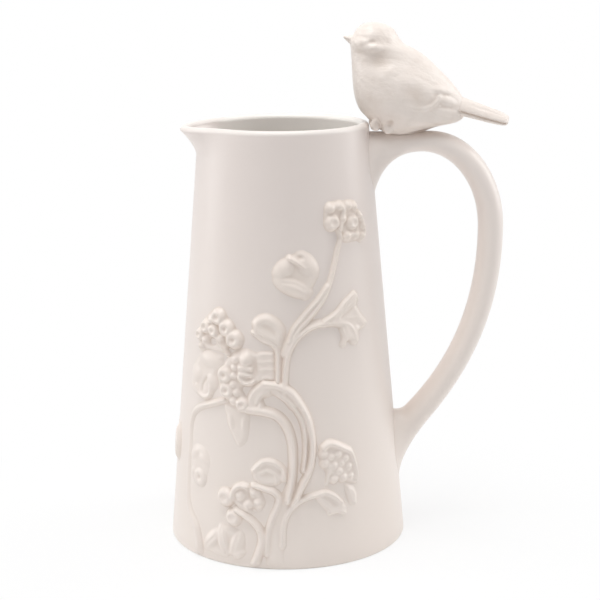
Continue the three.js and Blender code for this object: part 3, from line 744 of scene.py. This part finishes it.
# The wings: thin plates pressed in a mould and luted along the flanks. The small feathers are one
# soft mass, and the long ones under it overlap in rounded tips towards the rump.
CELL = 0.34
BORDER_STEP = 0.4
SOFT_EDGE = 0.42
POOL_AND_SHADE_REACH = 1.8
POOL_AND_SHADE_FULL = 0.9
FEATHER_EDGE = 0.08
SEAT_DEPTH = 0.1
PLATE_BACK = 0.9
WING_ALONG = (2, 50)
WING_RISE = (0, 36)
WING_SPREAD = 4.5
WING_SEAT = 0.25
WING_BACK = 3
WING_SOFT_EDGE = 0.5
COVERTS = [(8, 22), (9, 28), (13, 33), (20, 33.4), (27, 31.2), (34, 26.4), (38.4, 21), (37, 17), (34, 14),
           (31, 11.4), (27, 9.6), (21, 9.4), (15, 11.6), (10, 16)]


def leaf(outline, lift, edge, cup=1.0):
    """A form with a border: it rises over its edge to its lift, then sinks to a share of that."""
    border = through(outline, BORDER_STEP, closed=True)
    after = np.roll(border, -1, 0)

    def height(u, v):
        raised = np.zeros(u.shape)
        close = in_box(u, v, border)
        x, y = u[close][:, None], v[close][:, None]
        spans = (border[:, 1] > y) != (after[:, 1] > y)
        drop = np.where(after[:, 1] == border[:, 1], 1e-9, after[:, 1] - border[:, 1])
        crossing = border[:, 0] + (y - border[:, 1]) * (after[:, 0] - border[:, 0]) / drop
        inside = (spans & (x < crossing)).sum(1) % 2 == 1
        depth = np.where(inside, nearest(u[close], v[close], border)[0], 0)
        sunk = smooth_step((depth - edge) / (1.2 * edge))
        raised[close] = lift * smooth_step(depth / edge) * (1 - (1 - cup) * sunk)
        return raised

    return height


def carved(*forms, cuts=()):
    """The highest of some forms, with cuts taken out of it, never below the ground."""

    def height(u, v):
        raised = np.max([form(u, v) for form in forms], axis=0)
        for cut in cuts:
            raised = raised - np.minimum(cut(u, v), raised)
        return raised

    return height


def soften(field, reach):
    """Blurs a field of heights, as a coat of glaze does."""
    span = int(math.ceil(3 * reach / CELL))
    steps = np.arange(-span, span + 1)
    weights = np.exp(-((steps * CELL / reach) ** 2) / 2)
    weights /= weights.sum()
    for axis in (0, 1):
        field = sum(weight * np.roll(field, step, axis) for weight, step in zip(weights, steps))
    return field


def cell_corners(grid):
    """The values of a grid at the four corners of each of its cells, in turn."""
    return grid[:-1, :-1], grid[1:, :-1], grid[1:, 1:], grid[:-1, 1:]


def pressed(name, field, across, up, back=PLATE_BACK, soft=SOFT_EDGE, seat=SEAT_DEPTH, hollow=None):
    """A relief as a closed flat mesh in millimetres, x across, y up and z out: its face, which
    ends just under the ground where it has thinned to nothing, its back, and the rim between.
    Its hollows, and more so the given hollow, are painted darker: pooled glaze and painted shade."""
    u, v = np.meshgrid(np.arange(*across, CELL), np.arange(*up, CELL), indexing="ij")
    lift = soften(field(u, v), soft)
    # Where the face sinks below its blurred surroundings it is painted darker: pooled glaze and painted
    # shade.
    pool_and_shade = ((soften(lift, POOL_AND_SHADE_REACH) - lift) / POOL_AND_SHADE_FULL).clip(0, 1)
    if hollow:
        pool_and_shade = pool_and_shade + hollow(u, v)
    raised = lift > FEATHER_EDGE
    cells = np.any(cell_corners(raised), 0)
    used = np.any(cell_corners(np.pad(cells, 1)), 0)
    border = used & ~raised
    shift = np.zeros((2, *u.shape))
    count = np.zeros(u.shape)
    for i in (-1, 0, 1):
        for j in (-1, 0, 1):
            beside = np.roll(lift, (-i, -j), (0, 1))
            meets = border & (beside > FEATHER_EDGE)
            share = np.where(meets, (FEATHER_EDGE - lift) / np.where(meets, beside - lift, 1), 0)
            shift += share * np.array([i, j])[:, None, None]
            count += meets
    u = u + CELL * shift[0] / count.clip(1)
    v = v + CELL * shift[1] / count.clip(1)
    lift = np.where(border, FEATHER_EDGE, lift) - seat
    total = used.sum()
    index = np.full(u.shape, -1)
    index[used] = np.arange(total)
    face = np.stack([corner[cells] for corner in cell_corners(index)], -1)
    edges = np.concatenate([face[:, [k, (k + 1) % 4]] for k in range(4)])
    outer = edges[~np.isin(edges[:, 0] * total + edges[:, 1], edges[:, 1] * total + edges[:, 0])]
    rim = np.stack([outer[:, 1], outer[:, 0], outer[:, 0] + total, outer[:, 1] + total], -1)
    front = np.stack([u[used], v[used], lift[used]], -1)
    behind = np.stack([u[used], v[used], np.full(total, -back)], -1)
    mesh = bpy.data.meshes.new(name)
    faces = np.concatenate([face, face[:, ::-1] + total, rim])
    mesh.from_pydata(np.concatenate([front, behind]).tolist(), [], faces.tolist())
    mesh.polygons.foreach_set("use_smooth", np.arange(len(faces)) < 2 * len(face))
    set_pool_and_shade(mesh, np.tile(pool_and_shade[used], 2))
    return mesh


# Painted shade and pooled glaze in the hollow of the wing.
WING_HOLLOW_SHADE = dome((21.6, 18.2), (11, 5.6), 0.4, -0.42, 2)
wing_field = carved(
    leaf(COVERTS, 1.25, 9),
    dome((36.2, 10), (8.6, 2.8), 1.15, -0.22),
    dome((36.4, 15.3), (6.8, 3), 1.3, -0.36),
    dome((33.4, 20.6), (7.6, 2.6), 1.6, -0.2),
    ridge([(15, 15.4), (18.4, 13.5), (22.5, 12.2), (27.1, 12.3), (30.4, 13.8), (32.6, 16), (33.4, 18)],
          (4.8, 4), (0.5, 1.6), 2),
    cuts=[
        dome((21.6, 18.4), (10.4, 5.4), 0.6, -0.42, 2),
        ridge([(33, 12.6), (38.6, 11.7), (42, 10.8)], 1.1, 0.35),
        ridge([(30, 18.4), (35, 18.4), (39, 17.4)], 1.1, 0.35),
        ridge([(22, 27), (27, 25), (31, 22.6)], 1.6, 0.25, 2),
    ],
)
for wing_node in ("bird_left_wing", "bird_right_wing"):
    wing_low, wing_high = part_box(wing_node)
    wing_side = 1 if wing_low.y + wing_high.y > 0 else -1
    wing_press = (WING_ALONG, WING_RISE, WING_BACK, WING_SOFT_EDGE, WING_SEAT, WING_HOLLOW_SHADE)
    wing_mesh = pressed(wing_node, wing_field, *wing_press)
    flat = np.array([vertex.co for vertex in wing_mesh.vertices])
    out = np.maximum(flank(flat[:, 0], flat[:, 1]), WING_SPREAD) + flat[:, 2]
    placed = (np.stack([flat[:, 0], wing_side * out, flat[:, 1]], -1) + PERCH) * MM
    wing_mesh.vertices.foreach_set("co", placed.ravel())
    if wing_side > 0:
        wing_mesh.flip_normals()
    wing_mesh.update()
    wing = new_object(f"glazed_{wing_node}", wing_mesh)
    wing.data.materials.append(bird_glaze)
    fix(wing, wing_node)

# The sprigs: stems, leaves and flowers pressed from thin clay and laid on the wall with slip, one
# vine on each face of the jug. The glaze runs over their edges, so they seem to grow from the wall.
SPRIG_TONE = (0.868, 0.775, 0.706, 1)
WALL_WIDTH = (-86, 52)
WALL_RISE = (-6, 182)
FOOT_FADE = (1, 4)
FLORET_CREST = 0.52


def floret(centre, radius, lift, dimple):
    """A cupped floret: a raised ring round a dimple."""

    def height(u, v):
        reach = np.hypot(u - centre[0], v - centre[1]) / radius
        ring = (1 - ((reach - FLORET_CREST) / FLORET_CREST) ** 2).clip(0)
        return lift * np.maximum(ring, np.where(reach < FLORET_CREST, dimple, 0))

    return height


def florets(places, lift, dimple=0.76):
    return [floret((u, v), radius, lift, dimple) for u, v, radius in places]


def knobs(places, lift):
    return [dome((u, v), (radius, radius), lift) for u, v, radius in places]


def above_foot(field):
    """Fades a relief out into the wall just above the foot."""
    return lambda u, v: field(u, v) * smooth_step((v - FOOT_FADE[0]) / (FOOT_FADE[1] - FOOT_FADE[0]))


# Each sprig is drawn flat, in millimetres round the wall and up it.
SPRIGS = {}
SPRIGS["vine"] = carved(
    ridge([(-6, 2), (-5.6, 14), (-4, 24), (-0.6, 32), (2.4, 40)], (9, 7), 1),
    ridge([(-15.8, 2), (-13.6, 8), (-12, 14), (-12.8, 19), (-16, 23), (-20.4, 26), (-25, 28)],
          (4.6, 3.4), 2.6),
    ridge([(-9.8, 8), (-9, 18), (-7, 25), (-4.4, 31), (-3.6, 35), (-5.6, 38), (-10, 39.6), (-15.6, 41)],
          (3.6, 3.4), (1.6, 2.7)),
    ridge([(-2.2, 12), (-1.6, 22), (0.8, 28.4), (5, 32.8), (10, 35.2), (17.4, 37)], (3.4, 2.8), (1.8, 2.5)),
    ridge([(3.4, 32), (6.8, 40), (10.8, 48.4), (12.4, 58), (11.8, 66), (10.2, 73), (6.8, 80), (2.4, 86),
           (-3.4, 89.2), (-9.6, 90)], (3.6, 4.4), 3.1),
    ridge([(7.8, 48), (8.9, 56), (9, 64), (7.8, 71.4), (5.2, 76.8), (1.8, 81.2), (-3.6, 85.6)], (2, 3), 2.8),
    ridge([(4, 80), (0, 84.6), (-5, 87.4), (-9, 88)], 6, 1.9),
    ridge([(0.6, 34), (2.6, 44), (3.2, 54), (2.6, 63), (-0.2, 70.8), (-4.2, 75), (-9.6, 76.7), (-18, 77.4)],
          (4, 5), 2.9),
    leaf([(-19, 77.4), (-18.8, 83), (-15.8, 88.2), (-10.6, 91.4), (-5, 90), (-6, 84.4), (-10, 82), (-9, 78),
          (-14, 75.6)], 2.1, 2.4, 0.7),
    ridge([(-0.6, 86), (-0.2, 94), (0.6, 101), (2.6, 107), (6.2, 112), (11, 115.6), (16, 117.2),
           (21, 117.6)], (3.6, 2.6), 2.4),
    ridge([(3.4, 110), (6.4, 115.4), (10.4, 119.6), (14.8, 124.6), (18.8, 130), (21.8, 136.4), (24.2, 144),
           (26, 151), (27.8, 156.4), (26.6, 161)], (2.8, 2.4), 2.3),
    ridge([(1.8, 109.6), (4, 115.4), (7.6, 120.2), (12, 125.2), (16.2, 129.6), (20.4, 135.2)],
          (2.8, 2), 2.3),
    ridge([(2.6, 110), (5.4, 115.6), (9, 120), (13.4, 125), (17.6, 130)], (5, 3), 1.1),
    ridge([(3, 110), (7, 114.4), (12, 117.4), (17, 118.4)], (4, 3), 1.2),
    ridge([(-0.2, 104), (1.8, 109), (4.6, 112.6)], 4.4, 1.6),
    cuts=[ridge([(-13, 79.6), (-10, 84), (-6.4, 86.4)], 1.8, 0.7)],
)
SPRIGS["top_umbel"] = carved(
    leaf([(19.8, 172.4), (28, 174), (36.6, 173.4), (39.4, 167.6), (43, 163), (44.8, 157), (42.6, 153.6),
          (36, 153.8), (30, 154), (27.4, 160), (20.4, 160.4)], 0.9, 1.8),
    ridge([(21.8, 171.2), (25, 171.8), (29.4, 170.2), (28.4, 165), (27.6, 160.6)], (4.4, 3), 2.1),
    ridge([(39.4, 166.6), (42.2, 162.4), (43.4, 157.8), (41, 155)], 4, 2.2),
    ridge([(29.8, 156.6), (34, 157.8), (38, 157.2)], (3.4, 4), 2.1),
    *knobs([(22.4, 171, 2.9), (27, 171.6, 2.6), (32.4, 171.2, 2.6), (36.2, 170.4, 2.6), (29, 165.6, 2.4),
            (31.6, 157.4, 2.6), (36.8, 157.2, 2.8), (40, 165.4, 2.6), (42.2, 160.6, 2.4),
            (41.8, 156, 2.5)], 2.9),
    *florets([(23.2, 164.2, 3.9), (34.8, 163.2, 3.9)], 2.8),
)
SPRIGS["folded_leaf"] = carved(
    leaf([(-5.6, 137), (-5.2, 143), (-1, 149), (3, 150.6), (8, 152.8), (12.4, 150.6), (15.6, 145),
          (16.2, 139.6), (13.4, 133.6), (12.4, 130), (9.6, 128.4), (5, 131.2), (0, 133.8)], 1.3, 2.8),
    dome((0.4, 143.6), (7.2, 5), 2.5, 0.75),
    dome((10.2, 144.8), (8.4, 5.4), 2.3, -0.95),
    dome((4, 135.8), (10.4, 4.8), 3.1, -0.42),
    ridge([(2.4, 149), (5.6, 147.2), (9.4, 144.2)], (3.4, 2.6), 3.1, 2),
    cuts=[
        dome((7.4, 149.2), (3, 1.5), 0.9, -0.5, 2),
        ridge([(-0.6, 137.8), (4.6, 137), (9.4, 134.2)], (2.4, 2), 0.55, 2),
    ],
)
SPRIGS["lobed_leaf"] = carved(
    leaf([(17, 117.6), (22, 120.8), (27, 124.4), (32, 129), (36, 131.2), (38.6, 128.8), (37.8, 125),
          (39.8, 121), (43, 117.4), (45.6, 113.8), (42.4, 112), (39, 111), (39.4, 107.6), (36.8, 104.8),
          (33.4, 105.4), (31.4, 107), (28.8, 104.4), (26.2, 106), (27.4, 109.6), (27, 113.4),
          (23, 115.2)], 1.9, 2.8, 0.85),
    ridge([(18, 118), (25, 121.6), (30, 126.2), (35.4, 129.8)], (2.8, 2.4), 2.2),
    ridge([(18, 117.2), (27, 117), (32, 115.2), (34.8, 111), (36, 107)], (2.8, 2.6), 2.2),
    ridge([(30, 118.8), (36.4, 118.4), (43, 115)], (2.6, 2), 2),
    ridge([(27.8, 114), (29.6, 109.6), (29, 106.2)], (2.2, 2.6), 2),
    ridge([(36.8, 128.6), (37.4, 126)], 2.2, 2.1),
    cuts=[
        ridge([(27, 119.6), (32, 122.4), (35.6, 124)], (1.6, 2.4), 0.6),
        dome((38, 114.4), (2.6, 1.4), 0.6, -0.4),
    ],
)
SPRIGS["bud_leaf"] = carved(
    leaf([(-16, 118.6), (-13.6, 121.8), (-9, 123.6), (-4, 122), (-0.6, 118.8), (1, 115), (-0.4, 109),
          (-2, 105), (-5, 107.6), (-10, 110.2), (-14.8, 113.6)], 2, 3, 0.55),
    ridge([(-15, 113.8), (-10, 110.6), (-6, 108.8), (-3.6, 105.8), (-3.2, 99), (-3.4, 91)],
          (2.4, 3.2), (1.6, 2.6)),
)
SPRIGS["berry_spray"] = carved(
    leaf([(-34, 124), (-29, 121), (-23, 114), (-21.2, 108), (-25.6, 104.6), (-30, 102.4), (-38, 102.6),
          (-46, 101.6), (-49, 106), (-47.4, 112), (-42, 119)], 1, 2),
    *knobs([(-37.6, 117.4, 2.8), (-41.8, 107.2, 3.1), (-45.2, 104, 3.2), (-31.6, 109.8, 2.6)], 2.9),
    *florets([(-33.4, 119.4, 4.2), (-28.8, 114.6, 4.2), (-24.6, 109.8, 4.6), (-41.4, 113.8, 3.6),
              (-36, 112.6, 3.4), (-45.8, 109.4, 3.4)], 3.2, 0.68),
    ridge([(-35, 110.4), (-31.6, 106.2), (-27.8, 102)], (2.8, 2.2), 2.6),
    cuts=[dome((-37.6, 107), (3, 2.4), 2.2), dome((-27.4, 105), (1.8, 1.6), 1.1)],
)
SPRIGS["rosette"] = carved(
    leaf([(-34.4, 92), (-31, 98), (-26, 103.4), (-19, 106.4), (-13, 104.8), (-5.4, 105.4), (-4.4, 98),
          (-4.8, 91.4), (-12, 90), (-19, 88), (-18.6, 79), (-21.4, 75.8), (-27.4, 78.4),
          (-33.6, 84)], 1.1, 2),
    *[ridge([(start, z - 0.4), (-8.6, z), (-5.8, z - tilt)], (2.6, 2.2), 1.7)
      for start, z, tilt in ((-10, 93, 0.3), (-11.8, 96.8, 0.1), (-12.4, 100.4, -0.3), (-11.6, 104, 0.2))],
    dome((-19.6, 96.4), (5, 8), 2.3),
    dome((-18.6, 100.8), (4, 4.4), 3.6),
    dome((-23.4, 101), (4, 3), 2.8, 0.6),
    ridge([(-21.4, 96.9), (-19, 97.2), (-15.8, 96.6)], (2.6, 2.2), 3.2),
    ridge([(-21.4, 93.9), (-19, 94.1), (-16, 93.5)], (2.6, 2.2), 3),
    ridge([(-21.8, 92.4), (-20, 90.2), (-17.4, 89.7), (-15, 90.6)], (3, 2.6), 3),
    *florets([(-29.8, 92.4, 4.4), (-28.8, 85.2, 4.2), (-20.4, 79.4, 3.7)], 3, 0.66),
    *knobs([(-24.4, 96.6, 2.4), (-24.8, 92.8, 2.5), (-25.2, 88.6, 2.7), (-23.4, 84.8, 2.7),
            (-25, 80.8, 3)], 2.7),
    leaf([(-31, 79), (-30, 72), (-27.6, 65), (-23, 58.4), (-19, 61), (-17.2, 68), (-17.8, 77)], 1.1, 2.6),
    dome((-26.6, 70.6), (8.4, 3), 1.9, -1.35, 2),
    dome((-20, 70), (7.6, 2.4), 1.9, 1.5, 2),
    cuts=[dome((-13.8, 97.4), (1.6, 5.6), 0.6), dome((-20.6, 86.4), (2.2, 2.6), 0.8)],
)
SPRIGS["broad_leaf"] = carved(
    leaf([(-45, 103.4), (-38, 102.8), (-30, 101.8), (-32, 95), (-34.4, 88), (-37, 82), (-40.4, 78.6),
          (-45, 77.6), (-51, 78.6), (-56, 80.6), (-57, 86), (-53.6, 93.4), (-49, 99)], 1, 4, 0.8),
    dome((-39, 97.6), (9.6, 4.6), 1.7, -0.2),
    dome((-49.4, 89.6), (7, 5.6), 1.6, 0.9),
    dome((-38.6, 88), (4.4, 5.6), 1.6),
    ridge([(-49.6, 84), (-47.4, 80.8), (-43, 79.6), (-39.4, 81.6), (-38.8, 86)], (2.6, 2.8), 1.9),
    cuts=[ridge([(-41.6, 89), (-44.4, 85.4), (-45, 82.4)], (2, 1.6), 0.6)],
)
SPRIGS["lower_umbel"] = carved(
    leaf([(14.8, 56), (16.8, 60), (20.4, 62), (26.4, 60.8), (32.2, 57), (36, 50), (37.2, 43),
          (35.8, 38), (29.6, 39.6), (24, 41.4), (19.4, 44.6), (16.6, 50)], 1.3, 3),
    ridge([(17.6, 58.4), (20.6, 60.2), (24, 59.2), (28, 57), (31.8, 54.6), (33.8, 50), (35.2, 45),
           (35, 40.6)], (4, 3.2), (2.7, 2.2)),
    ridge([(21, 50), (20.2, 45), (19.4, 40.4)], (2.4, 1.8), (1.9, 1.2)),
    *knobs([(17.8, 55.6, 2.7), (18.4, 51.2, 2.7), (21.4, 53.8, 2.3), (25, 54.6, 2.6), (22.8, 49.4, 2.7),
            (29, 52.2, 2.4), (25.6, 46.4, 2.5), (30.8, 47.8, 2.4), (27.8, 43, 2.7), (23, 42.8, 2.5),
            (31.8, 43, 2.3), (26.8, 50.2, 2)], 2.5),
)
SPRIGS["bract_leaf"] = carved(
    leaf([(13, 36), (17.4, 38.4), (21.4, 37.6), (25.4, 34.8), (28.8, 31.2), (30.4, 26.8), (26, 25.6),
          (21, 25.4), (17, 29.4)], 1.3, 2.4, 0.55),
    leaf([(28.6, 39.4), (33.4, 38), (36, 34), (35.6, 28.4), (32, 28.4), (29.6, 33)], 1.5, 2.2, 0.55),
    ridge([(15, 36.4), (18.6, 37), (23, 34.8), (27, 31)], (3, 2), 2.4),
    ridge([(20.6, 26.6), (24, 27.2), (28.6, 25.8)], 2.2, 1.6),
)
SPRIGS["bud"] = carved(
    leaf([(-17.2, 47), (-15.4, 52), (-9.6, 55), (-4, 53.8), (0.4, 50), (0.6, 45), (-3.4, 41.4),
          (-8, 39.8), (-12.6, 40.2), (-16, 43)], 1.2, 3.2, 0.7),
    ridge([(-15.4, 48.4), (-10.6, 52.6), (-5.4, 52.4), (-1.4, 48.6), (-1, 44.6)], (2.8, 3), 2.2),
    ridge([(-12.4, 47), (-8.6, 48.8), (-5, 46.6), (-4.4, 43)], (2.2, 2.6), 1.9),
    cuts=[dome((-2.6, 48.6), (1, 2), 0.5)],
)
SPRIGS["blossoms"] = carved(
    leaf([(-27.6, 33), (-26.4, 38), (-22.6, 41.4), (-17.6, 41.6), (-12.6, 39.2), (-10.2, 34), (-11.8, 28.4),
          (-17, 26.4), (-23, 28)], 1.2, 2.4, 0.75),
    ridge([(-26.6, 33.4), (-25.4, 37.8), (-21.6, 40.4), (-18.8, 40)], 3.2, 2.8),
    *florets([(-30.4, 33.4, 4.6), (-26.2, 24.2, 4.2)], 2.8),
    *knobs([(-22.4, 35.4, 3.2), (-15.4, 37.4, 3.2), (-13.2, 32.8, 3), (-18.4, 31.4, 2.8)], 2.7),
    cuts=[dome((-15.8, 29), (2.8, 1.6), 1.2), dome((-17.6, 36.6), (0.8, 3), 0.7)],
)
SPRIGS["ground_leaf"] = carved(
    leaf([(-45.6, 6.4), (-42.4, 13.4), (-37, 17.4), (-30.6, 20.4), (-24, 18.6), (-20, 12.6), (-21.6, 6),
          (-28, 3.4), (-37, 3.6)], 1, 2.6),
    dome((-39, 10.6), (7.6, 3.9), 2.3, 0.8),
    dome((-32, 12.2), (8.2, 3.8), 2.5, 1.75),
    dome((-25, 11.4), (7.4, 3.9), 2.3, 1.2),
    dome((-24, 6.6), (4.4, 2.4), 1.8, 0.5),
    cuts=[
        ridge([(-42, 7.6), (-38.6, 11), (-36, 13.6)], 1.3, 0.6),
        ridge([(-30.6, 6), (-31.6, 11.6), (-33, 17)], 1.3, 0.6),
        ridge([(-26.4, 7), (-24.8, 11.6), (-23.6, 15.6)], 1.3, 0.6),
        dome((-28, 4.8), (2.2, 1.5), 0.9),
    ],
)
SPRIGS["side_floret"] = carved(
    leaf([(-55.6, 43), (-55, 50), (-51, 55.6), (-45, 56), (-40, 51.4), (-40.6, 43), (-43.6, 36.6),
          (-48, 34), (-53, 35.6)], 0.6, 3.6),
    dome((-51, 50.6), (6.4, 4), 1.2, 0.8, 2),
    dome((-44.6, 49), (6, 3.6), 1.2, -0.6, 2),
    dome((-52.4, 41.6), (4.6, 3), 1.1, 1.3, 2),
    floret((-47.4, 39.6), 4.8, 1.3, 0.45),
)
SPRIGS["spout_leaf"] = leaf([(-73, 61), (-69, 54), (-69.6, 45), (-73, 40), (-77, 46), (-77, 55)], 2.3, 3)
SPRIGS["side_stem"] = carved(
    ridge([(-47.6, 2), (-48.6, 9), (-51, 15.6), (-55, 19.8), (-58, 26), (-58.4, 34)], (5.4, 4), (2.3, 0.8)),
    ridge([(-58.4, 32), (-57.8, 44), (-56.2, 56)], 4, 0.8),
    ridge([(-56.4, 54), (-55.4, 64), (-52.4, 70), (-46, 74.4), (-38, 77.4), (-30, 80.4)],
          (4, 3), (0.8, 2.2)),
)


def wrapping_tree(sizes):
    """Lays a flat relief on the jug's wall: x runs round it, y up it and z out from it."""
    tree, given = new_tree("laid_on_wall", sizes)
    start = Wire(tree)
    across, up, out = start.node("GeometryNodeInputPosition").split()
    unit = given["Unit"]
    height = up * unit
    taper = (given["Rim Radius"] - given["Foot Radius"]) / given["Wall Height"]
    wall = given["Foot Radius"] + taper * height
    turn = across * unit / wall
    radius = wall + out * unit
    place = {
        "X": given["Axis X"] + radius * turn.math("SINE", turn),
        "Y": -1 * given["Side"] * radius * turn.math("COSINE", turn),
        "Z": height,
    }
    bent = {"Geometry": given["Geometry"], "Position": start.node("ShaderNodeCombineXYZ", {}, place)}
    laid = start.node("GeometryNodeSetPosition", {}, bent)
    mirrored = start.node("FunctionNodeCompare", {"operation": "LESS_THAN"}, {"A": given["Side"], "B": 0.0})
    turned = start.node("GeometryNodeFlipFaces", {}, {"Mesh": laid, "Selection": mirrored})
    end_tree(turned, given["Glaze"])
    return tree


wall_sizes = {"Unit": MM, "Axis X": AXIS_X, "Foot Radius": FOOT_RADIUS, "Rim Radius": RIM_RADIUS}
wall_sizes |= {"Wall Height": JUG_HEIGHT, "Side": 1.0, "Glaze": glaze("sprig_glaze", SPRIG_TONE)}
wrapping = wrapping_tree(wall_sizes)
for sprig_name, sprig_field in SPRIGS.items():
    flat_sprig = pressed(sprig_name, above_foot(sprig_field), WALL_WIDTH, WALL_RISE)
    for face_name, face_side in (("front", 1.0), ("back", -1.0)):
        sprig_node = f"{face_name}_{sprig_name}"
        sprig = new_object(f"glazed_{sprig_node}", flat_sprig)
        grow(sprig, wrapping, {**wall_sizes, "Side": face_side})
        fix(sprig, sprig_node)

# The studio: a white floor that runs out into a white ground, a large soft light overhead, one at
# each side and a weaker one in front, and a faint light from all round, as in a tent of white cloth.
FLOOR_HALF = 3.0
FLOOR_TONE = (0.92, 0.92, 0.92, 1)
SHADOW_SHARE = 0.25
SHADOW_NEAR = 0.065
SHADOW_FAR = 0.2
TENT = 0.34
# Each lamp gives where it hangs, its width and height, and its power in watts.
LAMPS = {
    "overhead": ((-0.1, -0.15, 1.35), (0.9, 0.8), 9.8),
    "left": ((-1.2, 0.2, 0.5), (0.6, 1), 4.1),
    "right": ((1.2, 0.3, 0.58), (0.6, 1), 6.7),
    "key": ((-0.6, -0.8, 1.1), (1, 1), 2.4),
}
LAMP_AIM = (0, 0, 0.13)


def shows_ground(start):
    """1 for rays that show the white ground: those of the camera, gloss and glass."""
    path = start.node("ShaderNodeLightPath", output="Is Camera Ray")
    return (path + path.out("Is Glossy Ray") + path.out("Is Transmission Ray")).clamped()


floor_mesh = bpy.data.meshes.new("floor")
floor_corners = [(FLOOR_HALF * x, FLOOR_HALF * y, 0) for x, y in ((-1, -1), (1, -1), (1, 1), (-1, 1))]
floor_mesh.from_pydata(floor_corners, [], [(0, 1, 2, 3)])
floor = new_object("floor", floor_mesh)
floor_paint = bpy.data.materials.new("floor_paper")
floor_paint.use_nodes = True
paper_tree = floor_paint.node_tree
paper = paper_tree.nodes["Principled BSDF"]
paper.inputs["Base Color"].default_value = FLOOR_TONE
paper.inputs["Roughness"].default_value = 0.9
paper.inputs["Specular IOR Level"].default_value = 0.0
paper_start = Wire(paper_tree)
from_jug = {0: paper_start.node("ShaderNodeTexCoord", output="Object"), 1: (AXIS_X, 0, 0)}
distance = paper_start.node("ShaderNodeVectorMath", {"operation": "DISTANCE"}, from_jug, output="Value")
clear = ((distance - SHADOW_NEAR) / (SHADOW_FAR - SHADOW_NEAR)).clamped()
fade = (1 - SHADOW_SHARE * (1 - clear)) * shows_ground(paper_start)
ground = paper_start.node("ShaderNodeEmission", {}, {"Color": (1, 1, 1, 1), "Strength": 1.0})
paper_mix = {0: fade, 1: Wire(paper_tree, paper.outputs[0]), 2: ground}
floor_shader = paper_start.node("ShaderNodeMixShader", {}, paper_mix)
floor_shader.into(paper_tree.nodes["Material Output"], "Surface")
floor_mesh.materials.append(floor_paint)

world = bpy.data.worlds.new("tent")
world.use_nodes = True
bpy.context.scene.world = world
tent = world.node_tree.nodes["Background"]
tent.inputs["Color"].default_value = (1, 1, 1, 1)
tent_start = Wire(world.node_tree)
shown = shows_ground(tent_start)
(TENT * (1 - shown) + shown).into(tent, "Strength")

for lamp_name, (lamp_place, lamp_size, lamp_power) in LAMPS.items():
    lamp_data = bpy.data.lights.new(lamp_name, "AREA")
    lamp_data.shape = "RECTANGLE"
    lamp_data.size, lamp_data.size_y = lamp_size
    lamp_data.energy = lamp_power
    lamp = new_object(lamp_name, lamp_data)
    lamp.location = lamp_place
    aim = Vector(LAMP_AIM) - lamp.location
    lamp.rotation_euler = aim.to_track_quat("-Z", "Y").to_euler()

# The camera: in front of the jug and a little above its rim, with a long lens.
CAMERA_PLACE = (AXIS_X + 8.41 * MM, -766.5 * MM, 291.6 * MM)
CAMERA_PITCH = math.radians(12.719)
CAMERA_ROLL = math.radians(-0.55)
CAMERA_YAW = math.radians(-0.094)
CAMERA_LENS = 95.07

camera_data = bpy.data.cameras.new("camera")
camera_data.lens = CAMERA_LENS
camera_data.sensor_width = 36
camera_data.clip_start = 0.05
camera = new_object("camera", camera_data)
upright = Matrix.Rotation(-CAMERA_YAW, 4, "Z") @ Matrix.Rotation(math.pi / 2 - CAMERA_PITCH, 4, "X")
camera.matrix_world = Matrix.Translation(CAMERA_PLACE) @ upright @ Matrix.Rotation(CAMERA_ROLL, 4, "Z")
bpy.context.scene.camera = camera
bpy.context.scene.view_settings.view_transform = "Standard"
